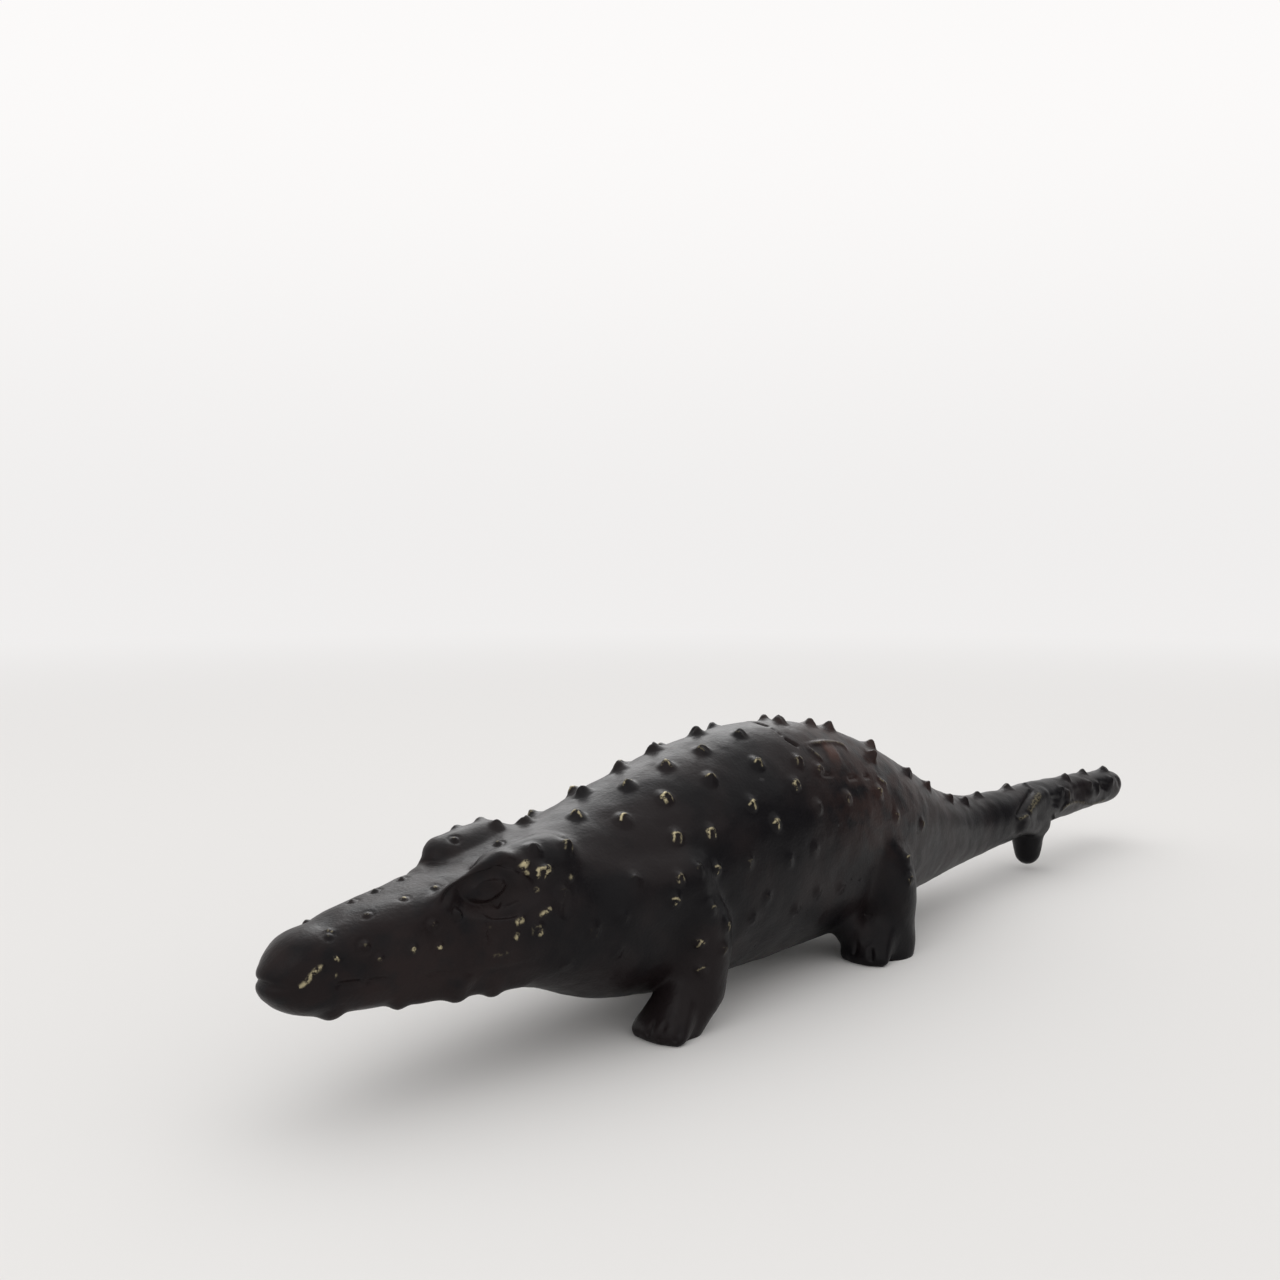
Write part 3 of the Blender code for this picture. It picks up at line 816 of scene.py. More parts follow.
@dataclass
class Knobs:
    """All the knobs: the crest's, the left flank's, the same less evenly on the right, and the legs'.

    Attributes:
        crest: Station, turn in degrees (0 is the left flank, 90 the crest), share of the height, and wear,
            which is partly a painted highlight.
        flank: The same for the left flank, which the right one repeats.
        front_leg: Points close to the skin of the left front leg, which the right one repeats.
        rear_leg: The same for the left rear leg.
        low: The share of the height up to which a knob is a dot in a ring.
        leg_share: The share of the height that the legs' knobs have.
        far_brow: The share that the head's knobs keep on the right.
        right_wear_and_highlight: The share of the wear and painted highlight that the right side keeps.
        lean: How far a knob may be turned, in radians.
        middle: Along, and the turn of the crest there, about which the right side repeats the left.
        forward: How far nearer the head the right side's knobs are, behind head_end.
        stray: How far the right side's knobs stray along and in turn.
        sinking: Sine of the turn, and the share of its height that a knob keeps there: low on the flanks.
    """

    trunk: Trunk
    height: float = 0.0026
    width: float = 0.0078
    least: float = 0.6
    low: float = 0.5
    leg_share: float = 0.6
    far_brow: float = 0.6
    right_wear_and_highlight: float = 0.7
    lean: float = 0.45
    sinking: tuple = ((0.25, 0.80), (0.50, 1.0))
    middle: tuple = ((0.35, 0.45), (87, 97))
    forward: float = 0.021
    head_end: float = 0.180
    stray: tuple[float, float] = (0.006, 4)
    seed: int = 7
    crest: tuple = (
        (0.032, 59, 0.2, 0.3), (0.056, 70, 0.2, 0.6), (0.079, 73, 0.2, 0.7), (0.098, 72, 0.2, 0.6),
        (0.036, 118, 0.3, 0.2), (0.061, 100, 0.3, 0.3), (0.077, 102, 0.35, 0.3), (0.096, 103, 0.35, 0.2),
        (0.137, 104, 0.3, 0.5), (0.155, 90, 0.4, 0.4), (0.168, 104, 0.7, 0.3), (0.188, 102, 1.0, 0.1),
        (0.233, 99, 1.2, 0.2), (0.269, 102, 1.3, 0.3), (0.302, 102, 1.3, 0.1), (0.337, 96, 1.2, 0.2),
        (0.372, 110, 1.0, 0.2), (0.420, 103, 1.2, 0.1), (0.470, 108, 1.1, 0.2), (0.520, 114, 1.0, 0.1),
        (0.207, 80, 1.0, 0.9), (0.250, 79, 1.0, 0.8), (0.283, 77, 1.0, 0.7), (0.315, 75, 0.9, 0.4),
        (0.355, 76, 0.9, 0.3), (0.411, 85, 1.1, 0.2), (0.443, 82, 1.1, 0.3), (0.464, 80, 1.2, 0.2),
        (0.510, 73, 1.1, 0.3), (0.700, 84, 0.8, 0.2), (0.760, 93, 1.0, 0.3), (0.789, 84, 0.6, 0.2),
        (0.864, 75, 1.0, 0.2), (0.912, 89, 0.9, 0.3), (0.957, 86, 1.0, 0.2),
    )
    flank: tuple = (
        (0.047, 29, 0.5, 0.3), (0.085, 26, 0.5, 0.3), (0.100, 30, 0.5, 0.2), (0.053, 9, 0.5, 0.5),
        (0.072, 8, 0.5, 1.0), (0.087, 4, 0.5, 1.0), (0.151, 58, 0.85, 0.1), (0.173, 53, 0.9, 0.5),
        (0.227, 59, 1.0, 1.0), (0.261, 58, 1.0, 1.0), (0.300, 55, 1.0, 0.8), (0.345, 53, 1.0, 0.8),
        (0.383, 48, 0.85, 0.5), (0.401, 42, 0.8, 0.4), (0.485, 54, 1.1, 0.2), (0.542, 54, 1.0, 0.1),
        (0.576, 52, 1.0, 0.1), (0.622, 55, 0.9, 0.2), (0.659, 62, 0.9, 0.1), (0.150, 43, 0.8, 1.0),
        (0.254, 36, 0.9, 0.9), (0.281, 31, 0.85, 0.9), (0.322, 35, 0.9, 1.0), (0.369, 37, 0.85, 0.9),
        (0.339, 23, 0.85, 1.0), (0.385, 24, 0.8, 0.2), (0.421, 26, 0.8, 0.4), (0.467, 29, 0.8, 0.5),
        (0.486, 16, 0.75, 0.4), (0.530, 12, 0.75, 0.4), (0.164, 25, 0.75, 0.2), (0.211, 23, 0.8, 0.2),
        (0.308, 11, 0.75, 0.3), (0.347, 5, 0.75, 0.2), (0.375, 6, 0.75, 0.2), (0.144, 4, 0.75, 0.4),
        (0.181, 0, 0.75, 0.2), (0.199, 6, 0.75, 0.1), (0.165, -23, 0.7, 0.2), (0.199, -13, 0.7, 0.1),
        (0.314, -17, 0.75, 0.1), (0.326, -9, 0.7, 0.2), (0.360, -22, 0.85, 0.1), (0.382, -16, 0.75, 0.1),
        (0.410, -18, 0.75, 0.1), (0.835, 38, 0.85, 0.1), (0.895, 36, 0.85, 0.1), (0.945, 34, 0.8, 0.1),
    )
    front_leg: tuple = (
        (0.277, 0.061, 0.101), (0.262, 0.072, 0.081), (0.275, 0.073, 0.068), (0.273, 0.073, 0.054),
        (0.256, 0.068, 0.061), (0.259, 0.067, 0.043), (0.241, 0.064, 0.102), (0.258, 0.065, 0.105),
        (0.236, 0.066, 0.090),
    )
    rear_leg: tuple = ((0.484, 0.069, 0.074), (0.480, 0.071, 0.060), (0.507, 0.054, 0.036))
    # Wear of the legs' knobs in turn, partly a painted highlight on their crests.
    leg_wear_and_highlight: tuple = (0.8, 0.5, 0.6, 0.3)

    def spots(self) -> list[tuple[float, float, float, float]]:
        """The knobs of the whole trunk in the crest's terms."""
        stray = random.Random(self.seed)
        made = list(self.crest + self.flank)
        far, swing = self.stray
        for along, turn, share, wear_and_highlight in self.flank:
            along += stray.uniform(-far, far) - (self.forward if along > self.head_end else 0)
            turn = 2 * np.interp(along, *self.middle) - turn + stray.uniform(-swing, swing)
            share *= self.far_brow if along < self.head_end else 1
            made.append((along, turn, share, self.right_wear_and_highlight * wear_and_highlight))
        return made

    def knob(self, core: Vector, spot: Vector, share: float, wear_and_highlight: float, chance: random.Random) -> Knob:
        """A knob with a pinch and a turn of its own.

        Args:
            core: A point inside the casting.
            spot: A point that the knob stands in front of.
            share: Its share of the full height.
            wear_and_highlight: How bare it is, partly a painted highlight on its crests.
            chance: The source of its differences.

        Returns:
            The knob.
        """
        pinch = None if share <= self.low else chance.choice((Pinch.ARC, Pinch.TEE, Pinch.TEE, Pinch.FORK))
        return Knob(
            core,
            spot,
            height=share * self.height,
            radius=self.width / 2 * (self.least + (1 - self.least) * share),
            pinch=pinch,
            turn=chance.uniform(-self.lean, self.lean),
            wear_and_highlight=wear_and_highlight,
        )

    def on_trunk(self, chance: random.Random) -> list[Knob]:
        """The knobs of both sides of the trunk."""
        made = []
        for along, turn, share, wear_and_highlight in self.spots():
            top, bottom = smooth(self.trunk.stations, along)[0, :2]
            core = place(along, 0, bottom + self.trunk.widest * (top - bottom))
            knob = self.knob(core, self.trunk.spot(along, turn), share, wear_and_highlight, chance)
            knob.height *= np.interp(math.sin(math.radians(turn)), *self.sinking)
            made.append(knob)
        return made

    def on_legs(self, chance: random.Random) -> list[Knob]:
        """The knobs of all four legs."""
        made = []
        pairs = ((FRONT_LEG, self.front_leg, STRIDE), (REAR_LEG, self.rear_leg, -STRIDE))
        for rows, places, stride in pairs:
            for i, spot in enumerate(places):
                along, aside, _ = smooth(rows, spot[2])[0]
                wear_and_highlight = self.leg_wear_and_highlight[i % len(self.leg_wear_and_highlight)]
                for side in Side:
                    back = stride if side is Side.RIGHT else 0.0
                    ends = [sided(end, side, forward=back) for end in ((along, aside, spot[2]), spot)]
                    made.append(self.knob(*ends, self.leg_share, wear_and_highlight, chance))
        return made

    def carve(self, skin: Skin) -> None:
        """Lifts every knob out of the skin."""
        chance = random.Random(self.seed)
        tree = skin.tree()
        for knob in self.on_trunk(chance) + self.on_legs(chance):
            knob.stamp(skin, tree)
        skin.settle()


@dataclass
class Eyes:
    """Almond sockets with the eyeballs standing in them.

    Attributes:
        socket: Middle of the left socket.
        radii: Half its length, its reach inwards and half its height.
        slope: How much it drops towards the tail.
        edge: How firm its edge is.
        ball: Along and up of the eyeball's middle.
        fullness: How soon the ball reaches its full height.
    """

    socket: Spot = (0.115, 0.044, 0.111)
    radii: Spot = (0.034, 0.024, 0.0150)
    slope: float = 0.12
    edge: float = 1.3
    depth: float = 0.0044
    ball: tuple[float, float] = (0.119, 0.112)
    ball_radii: tuple[float, float] = (0.0135, 0.0088)
    bulge: float = 0.0030
    fullness: float = 1.25

    def carve(self, skin: Skin) -> None:
        """Hollows both sockets and raises both eyeballs."""
        for side in Side:
            along, aside, up = skin.shares()
            ahead, rise = along - self.socket[0], up - self.socket[2]
            far = (
                (ahead / self.radii[0]) ** 2
                + ((side.value * aside - self.socket[1]) / self.radii[1]) ** 2
                + ((rise + self.slope * ahead) / self.radii[2]) ** 2
            )
            skin.push(-self.depth * np.clip(1 - far, 0, 1) ** self.edge, side.outward)
            ahead = (along - self.ball[0]) / self.ball_radii[0]
            rise = (up - self.ball[1]) / self.ball_radii[1]
            dome = ease(self.fullness * np.clip(1 - (ahead**2 + rise**2), 0, 1)) * (side.value * aside > 0)
            skin.push(self.bulge * dome, side.outward)


@dataclass
class Mouth:
    """The line between the jaws, from one corner round the snout to the other.

    Attributes:
        line: Along and up.
        firmness: Along, and how deep the line is there: firm at the snout's tip and in three dashes.
        groove: Half the groove's width, in widths.
        lips: How far from the line the lips are, how wide, both in widths, and their share of the depth.
    """

    line: tuple = ((0.000, 0.080), (0.050, 0.076), (0.085, 0.073), (0.120, 0.068), (0.155, 0.069))
    firmness: tuple = (
        (0.000, 0.9), (0.004, 0.5), (0.010, 0.15), (0.029, 0.15), (0.033, 0.8), (0.042, 0.8), (0.045, 0.2),
        (0.048, 0.7), (0.056, 0.7), (0.061, 0.15), (0.078, 0.2), (0.082, 0.6), (0.091, 0.6), (0.096, 0.2),
        (0.120, 0.3), (0.145, 0.2), (0.155, 0.0),
    )
    width: float = 0.0020
    depth: float = 0.0013
    groove: float = 0.45
    lips: tuple[float, float, float] = (1.3, 0.6, 0.2)

    def carve(self, skin: Skin) -> None:
        """Cuts the line and raises a soft lip above and below it."""
        along, _, up = skin.shares()
        gap = (up - np.interp(along, *np.array(self.line).T)) * LENGTH / self.width
        held = np.interp(along, *np.array(self.firmness).T) * np.clip(1 - np.abs(skin.normals[:, 2]), 0, 1)
        groove = np.exp(-((gap / self.groove) ** 2))
        away, wide, share = self.lips
        lips = np.exp(-(((np.abs(gap) - away) / wide) ** 2))
        skin.push((-self.depth * groove + share * self.depth * lips) * held)


@dataclass
class Stroke:
    """One stroke of a tool along a smooth curve on the skin.

    Attributes:
        path: Places close to the skin that the stroke runs through, or one place for a dab.
        width: Half the width, in metres.
        depth: How far it moves the skin, in metres, outwards where it is positive.
        wear_and_highlight: How bare the metal is along it; on raised ridges partly a painted highlight.
        rust: How reddish the patina is along it.
        twice: Whether the right side has the same stroke.
        fade: The share of its length over which each end fades.
        steps: Points of its curve for each place of its path.
        reach: How far from the curve it moves the skin, in widths.
        rub_and_highlight_falloff: How much faster the wear and painted highlight fall off than the depth.
    """

    path: tuple[Spot, ...]
    width: float
    depth: float
    wear_and_highlight: float = 0.0
    rust: float = 0.0
    twice: bool = True
    fade: float = 0.30
    steps: int = 12
    reach: float = 2.2
    rub_and_highlight_falloff: float = 1.5

    def press(self, skin: Skin, tree: BVHTree) -> None:
        """Presses the stroke into the skin, on the left and where it is repeated on the right.

        Args:
            skin: The skin.
            tree: Its search tree.
        """
        for side in Side if self.twice else (Side.LEFT,):
            spots = [np.array(tree.find_nearest(sided(spot, side))[0]) for spot in self.path]
            if len(spots) > 1:
                rows = np.column_stack([np.arange(len(spots)), spots])
                share = np.linspace(0, 1, self.steps * len(spots))
                curve = smooth(rows, share * (len(spots) - 1))
                held = ease(share / self.fade) * ease((1 - share) / self.fade)
            else:
                curve, held = np.array(spots), np.ones(1)
            reach = self.reach * self.width
            inside = ((skin.points > curve.min(0) - reach) & (skin.points < curve.max(0) + reach)).all(1)
            near = np.flatnonzero(inside)
            gaps = np.linalg.norm(skin.points[near, None, :] - curve[None, :, :], axis=2)
            first = gaps.argmin(1)
            body = np.exp(-((gaps[np.arange(len(near)), first] / self.width) ** 2)) * held[first]
            skin.points[near] += (self.depth * body)[:, None] * skin.normals[near]
            skin.wear_and_highlight[near] = np.maximum(skin.wear_and_highlight[near], self.wear_and_highlight * body**self.rub_and_highlight_falloff)
            skin.rust[near] = np.maximum(skin.rust[near], self.rust * body)


@dataclass
class Strokes:
    """What was drawn with a tool round the eyes and jaws, on the back, between the toes and on the tail."""

    eye: tuple[Stroke, ...] = (
        Stroke(((0.081, 0.026, 0.104), (0.090, 0.035, 0.1115), (0.099, 0.036, 0.1165),
                (0.112, 0.036, 0.122), (0.121, 0.037, 0.124), (0.130, 0.038, 0.124), (0.136, 0.039, 0.122),
                (0.140, 0.041, 0.117), (0.144, 0.042, 0.109), (0.144, 0.044, 0.103)),
               0.0016, -0.0013, fade=0.2),
        Stroke(((0.099, 0.036, 0.1110), (0.112, 0.037, 0.1175), (0.122, 0.038, 0.1205),
                (0.132, 0.039, 0.1190)), 0.0030, -0.0012, fade=0.25),
        Stroke(((0.115, 0.036, 0.103), (0.120, 0.039, 0.0995), (0.126, 0.041, 0.098),
                (0.132, 0.043, 0.098), (0.137, 0.0435, 0.099)), 0.0009, -0.0009),
        Stroke(((0.126, 0.040, 0.1020), (0.133, 0.041, 0.1030), (0.1375, 0.0415, 0.1045)),
               0.0009, 0.0005, wear_and_highlight=0.15),
        Stroke(((0.1225, 0.038, 0.1050), (0.1265, 0.038, 0.1045)), 0.0012, -0.0007, fade=0.1),
        Stroke(((0.113, 0.040, 0.0900), (0.1225, 0.042, 0.0890)), 0.0026, -0.0010),
        Stroke(((0.1166, 0.0406, 0.0925),), 0.0009, 0.0006, wear_and_highlight=0.6),
        Stroke(((0.1134, 0.040, 0.0770), (0.1211, 0.042, 0.0773), (0.1310, 0.044, 0.0783)),
               0.0007, 0.0004, wear_and_highlight=0.35),
        Stroke(((0.1665, 0.046, 0.110), (0.164, 0.048, 0.100), (0.1616, 0.050, 0.089)), 0.0012, -0.0006),
        Stroke(((0.133, 0.038, 0.1235), (0.139, 0.040, 0.1225), (0.146, 0.039, 0.1250)),
               0.0010, 0.0006, wear_and_highlight=1.4),
        Stroke(((0.138, 0.040, 0.1225), (0.1434, 0.042, 0.1160)), 0.0009, 0.0005, wear_and_highlight=1.3),
        Stroke(((0.155, 0.043, 0.1220), (0.1539, 0.044, 0.1155)), 0.0013, 0.0011, wear_and_highlight=1.3),
        Stroke(((0.130, 0.043, 0.0920), (0.134, 0.044, 0.0935), (0.138, 0.045, 0.0940)),
               0.0010, 0.0006, wear_and_highlight=0.9),
        Stroke(((0.133, 0.044, 0.0885), (0.1300, 0.044, 0.0825)), 0.0009, 0.0006, wear_and_highlight=0.8),
        Stroke(((0.144, 0.046, 0.0935), (0.151, 0.047, 0.0962), (0.1555, 0.048, 0.0980)),
               0.0008, 0.0005, wear_and_highlight=0.9),
        Stroke(((0.146, 0.046, 0.0855),), 0.0011, 0.0006, wear_and_highlight=0.9),
        Stroke(((0.147, 0.0435, 0.1085),), 0.0009, 0.0005, wear_and_highlight=0.9),
        Stroke(((0.170, 0.046, 0.1120),), 0.0011, 0.0006, wear_and_highlight=0.6),
    )
    snout: tuple[Stroke, ...] = (
        Stroke(((0.0255, 0.022, 0.0893), (0.019, 0.021, 0.0864), (0.0156, 0.020, 0.0820),
                (0.0105, 0.0175, 0.0785)), 0.0008, 0.0004, wear_and_highlight=0.8, twice=False, fade=0.15),
        Stroke(((0.0325, 0.0225, 0.0915), (0.0300, 0.0223, 0.0900)), 0.0010, 0.0004, wear_and_highlight=0.9, twice=False),
        Stroke(((0.033, 0.009, 0.1020), (0.036, 0.014, 0.1010)), 0.0008, 0.0003, wear_and_highlight=0.45, twice=False),
        Stroke(((0.030, 0.0225, 0.083),), 0.0008, 0.0003, wear_and_highlight=0.5, twice=False),
    )
    back: tuple[Stroke, ...] = (
        Stroke(((0.3887, 0.000, 0.1768), (0.3883, 0.008, 0.1761), (0.389, 0.016, 0.1745)), 0.0009, -0.0013),
        Stroke(((0.389, 0.015, 0.1745), (0.387, 0.029, 0.1676)), 0.0008, -0.0005),
        Stroke(((0.3867, 0.028, 0.168), (0.3907, 0.033, 0.1648), (0.396, 0.037, 0.1615)), 0.0009, -0.0013),
        Stroke(((0.397, 0.036, 0.1622), (0.422, 0.034, 0.1616), (0.448, 0.033, 0.1581),
                (0.450, 0.041, 0.151)), 0.0011, 0.0008, wear_and_highlight=0.34),
        Stroke(((0.402, 0.036, 0.1615), (0.412, 0.046, 0.1510)), 0.0010, 0.0007, wear_and_highlight=0.34),
        Stroke(((0.418, 0.039, 0.1575), (0.438, 0.041, 0.1530)), 0.0046, 0.0006, rust=1.0),
        Stroke(((0.429, 0.053, 0.1370), (0.445, 0.052, 0.1366)), 0.0008, -0.0007),
        Stroke(((0.452, 0.051, 0.1361), (0.463, 0.050, 0.1349)), 0.0008, -0.0007),
        Stroke(((0.472, 0.049, 0.1330), (0.486, 0.050, 0.1255)), 0.0008, 0.0005, wear_and_highlight=0.5),
        Stroke(((0.396, 0.051, 0.1443), (0.416, 0.052, 0.1415)), 0.0008, -0.0007),
    )
    toes: tuple[Stroke, ...] = (
        Stroke(((0.224, 0.050, 0.003), (0.2275, 0.0506, 0.0063), (0.234, 0.053, 0.0165)), 0.0009, -0.0008),
        Stroke(((0.226, 0.058, 0.001), (0.2283, 0.059, 0.0040), (0.236, 0.061, 0.0165)), 0.0009, -0.0008),
        Stroke(((0.232, 0.068, 0.002), (0.2335, 0.069, 0.0052), (0.239, 0.0695, 0.0135)), 0.0009, -0.0008),
        Stroke(((0.441, 0.051, 0.006), (0.4425, 0.052, 0.0106), (0.444, 0.053, 0.0250)), 0.0009, -0.0008),
        Stroke(((0.442, 0.066, 0.003), (0.4442, 0.065, 0.0073), (0.448, 0.062, 0.0160)), 0.0009, -0.0008),
    )
    tail: tuple[Stroke, ...] = (
        Stroke(((0.791, 0.009, 0.0790), (0.758, 0.018, 0.0704), (0.732, 0.023, 0.0610)),
               0.0014, -0.0013, fade=0.15),
        Stroke(((0.803, 0.012, 0.0770), (0.772, 0.021, 0.0690), (0.748, 0.025, 0.0600)),
               0.0026, 0.0009, wear_and_highlight=0.42),
        Stroke(((0.731, 0.023, 0.0597), (0.757, 0.024, 0.0600)), 0.0012, 0.0009, wear_and_highlight=0.45),
        Stroke(((0.8181, 0.0185, 0.0710), (0.8149, 0.0203, 0.0575)), 0.0036, -0.0013),
        Stroke(((0.852, 0.018, 0.0650), (0.900, 0.017, 0.0655)), 0.0042, -0.0014),
        Stroke(((0.9304, 0.0144, 0.0700), (0.9265, 0.0163, 0.0600)), 0.0034, -0.0011),
        Stroke(((0.966, 0.012, 0.0700), (0.962, 0.014, 0.0560)), 0.0034, -0.0011),
        Stroke(((0.826, 0.0186, 0.0520), (0.8414, 0.0194, 0.0581), (0.864, 0.0187, 0.0569),
                (0.911, 0.014, 0.0488), (0.941, 0.0149, 0.0502)), 0.0012, 0.0009, wear_and_highlight=0.4, fade=0.1),
        Stroke(((0.8472, 0.0152, 0.0723), (0.8412, 0.0195, 0.0601)), 0.0018, 0.0012, wear_and_highlight=0.25),
        Stroke(((0.9163, 0.0124, 0.0713), (0.9093, 0.0170, 0.0555)), 0.0018, 0.0012, wear_and_highlight=0.25),
        Stroke(((0.8141, 0.0179, 0.0492),), 0.0016, 0.0014),
    )

    def carve(self, skin: Skin) -> None:
        """Presses every stroke in turn."""
        tree = skin.tree()
        for group in (self.eye, self.snout, self.back, self.toes, self.tail):
            for stroke in group:
                stroke.press(skin, tree)
            skin.settle()


@dataclass
class Tarnish:
    """Where the patina is reddish: the upper part of the rear back, and faintly the snout.

    Attributes:
        back: Along where it starts, is full, is full still and ends.
        height: Up where it starts and is full.
        strength: How reddish it is at most.
        snout: The same on the snout.
        snout_end: Along where the snout's ends, and the stretch over which it fades.
    """

    back: tuple[float, float, float, float] = (0.36, 0.46, 0.60, 0.74)
    height: tuple[float, float] = (0.055, 0.125)
    strength: float = 0.34
    snout: float = 0.10
    snout_end: tuple[float, float] = (0.16, 0.05)

    def carve(self, skin: Skin) -> None:
        """Tints the skin."""
        along, _, up = skin.shares()
        start, full, still, end = self.back
        low, high = self.height
        held = ease((along - start) / (full - start)) * ease((end - along) / (end - still))
        tint = self.strength * held * ease((up - low) / (high - low))
        end, stretch = self.snout_end
        skin.rust = np.maximum(skin.rust, np.maximum(tint, self.snout * ease((end - along) / stretch)))


class Net:
    """The nodes of a material or of the world, joined as they are made."""

    def __init__(self, owner: bpy.types.Material | bpy.types.World) -> None:
        """Gives the owner its nodes."""
        owner.use_nodes = True
        self.nodes, self.links = owner.node_tree.nodes, owner.node_tree.links

    def give(self, node: bpy.types.Node, inputs: dict) -> None:
        """Fills some of a node's inputs: a socket is linked, and anything else is set as it is."""
        for name, value in inputs.items():
            if isinstance(value, Socket):
                self.links.new(value, node.inputs[name])
            else:
                node.inputs[name].default_value = value

    def add(self, kind: str, output: str, inputs: dict, **settings: object) -> Socket:
        """A new node.

        Args:
            kind: Its type, without the words in front that all types share.
            output: The output that is wanted.
            inputs: What goes into its inputs.
            settings: Its settings.

        Returns:
            The output's socket.
        """
        node = self.nodes.new("ShaderNode" + kind)
        for name, value in settings.items():
            setattr(node, name, value)
        self.give(node, inputs)
        return node.outputs[output]

    def noise(self, scale: float, detail: float) -> Socket:
        """A noise on Object coordinates, with so many features to the metre."""
        where = self.add("TexCoord", "Object", {})
        return self.add("TexNoise", "Fac", {"Vector": where, "Scale": scale, "Detail": detail})

    def fade(self, value: Socket, given: tuple, wanted: tuple = (0.0, 1.0)) -> Socket:
        """A value mapped softly from one range to another."""
        ends = {"From Min": given[0], "From Max": given[1], "To Min": wanted[0], "To Max": wanted[1]}
        return self.add("MapRange", "Result", {"Value": value, **ends}, interpolation_type="SMOOTHSTEP")

    def part(self, name: str, share: Socket) -> Socket:
        """One of the piece's attributes times a share."""
        value = self.add("Attribute", "Fac", {}, attribute_name=name)
        return self.add("Math", "Value", {0: value, 1: share}, operation="MULTIPLY")

    def blend(self, share: Socket, first: Socket | tuple, second: tuple) -> Socket:
        """The first colour, or a socket that gives it, mixed with the second by a share."""
        return self.add("Mix", "Result", {"Factor": share, "A": first, "B": second}, data_type="RGBA")

    def bump(self, height: Socket, strength: float, distance: float, **under: Socket) -> Socket:
        """A bump of so many metres over the bump under it, if there is one."""
        inputs = {"Height": height, "Strength": strength, "Distance": distance}
        return self.add("Bump", "Normal", {**inputs, **under})


@dataclass(frozen=True)
class Bronze:
    """Dark brown patina on cast bronze, reddish in places and worn to yellow metal on the ridges; the yellow
    metal on the crests is partly a painted highlight.

    Attributes:
        gloss: The patina's specular level.
        roughness: The least and the most.
        mottle: Features to the metre and detail of the patina's broad noise.
        cloud: The same of the middling noise.
        grain: The same of the finest.
        brown_edge: Where the broad noise turns dark patina to brown.
        red_edge: Where the middling noise lets the red through.
        rub_and_highlight_edge: Where the finest noise lets the wear and painted highlight through.
        bare_and_highlit: Wear and painted highlight at which metal starts to show and shows in full.
        bump: Strength and height in metres of the middling noise's bump.
        fine_bump: The same of the finest.
    """

    name: str = "dark bronze patina"
    dark: tuple = (0.0036, 0.0031, 0.0040, 1)
    brown: tuple = (0.0100, 0.0072, 0.0076, 1)
    red: tuple = (0.052, 0.024, 0.018, 1)
    # Bare yellow metal, also used for the painted highlights on the crests.
    metal_and_highlight: tuple = (0.40, 0.35, 0.22, 1)
    gloss: float = 0.13
    roughness: tuple[float, float] = (0.30, 0.47)
    mottle: tuple[float, float] = (34.0, 6.0)
    cloud: tuple[float, float] = (160.0, 4.0)
    grain: tuple[float, float] = (900.0, 3.0)
    brown_edge: tuple[float, float] = (0.42, 0.62)
    red_edge: tuple[float, float] = (0.30, 0.60)
    rub_and_highlight_edge: tuple[float, float] = (0.30, 0.58)
    bare_and_highlit: tuple[float, float] = (0.10, 0.90)
    bump: tuple[float, float] = (0.25, 0.0004)
    fine_bump: tuple[float, float] = (0.55, 0.00018)

    def material(self) -> bpy.types.Material:
        """The patina as a material of nodes that read Object coordinates and the piece's attributes."""
        made = bpy.data.materials.new(self.name)
        net = Net(made)
        mottle, cloud, grain = (net.noise(*noise) for noise in (self.mottle, self.cloud, self.grain))
        patina = net.blend(net.fade(mottle, self.brown_edge), self.dark, self.brown)
        reddish = net.blend(net.part("rust", net.fade(cloud, self.red_edge)), patina, self.red)
        # Bare metal where the wear attribute says: partly real wear, partly a painted highlight on the
        # crests.
        metal_and_highlight = net.fade(net.part("wear_and_highlight", net.fade(grain, self.rub_and_highlight_edge)), self.bare_and_highlit)
        least, most = self.roughness
        rough = net.add("MapRange", "Result", {"Value": cloud, "To Min": least, "To Max": most})
        coarse = net.bump(cloud, *self.bump)
        net.give(
            net.nodes["Principled BSDF"],
            {
                "Base Color": net.blend(metal_and_highlight, reddish, self.metal_and_highlight),
                "Metallic": metal_and_highlight,
                "Roughness": rough,
                "Specular IOR Level": self.gloss,
                "Normal": net.bump(grain, *self.fine_bump, Normal=coarse),
            },
        )
        return made


@dataclass(frozen=True)
class Lamp:
    """A square soft light that faces a point.

    Attributes:
        position: Where it hangs, in metres.
        target: What it faces.
        size: The length of its side.
        power: Its power in watts.
        gloss_only: Whether it lights nothing and is only seen in gloss.
    """

    name: str
    position: Spot
    target: Spot
    size: float
    power: float
    gloss_only: bool = False

    def hang(self) -> None:
        """Puts the light into the scene."""
        light = bpy.data.lights.new(self.name, "AREA")
        light.size = self.size
        light.energy = self.power
        obj = bpy.data.objects.new(self.name, light)
        obj.location = self.position
        obj.rotation_euler = (Vector(self.target) - obj.location).to_track_quat("-Z", "Y").to_euler()
        obj.visible_diffuse = not self.gloss_only
        bpy.context.scene.collection.objects.link(obj)


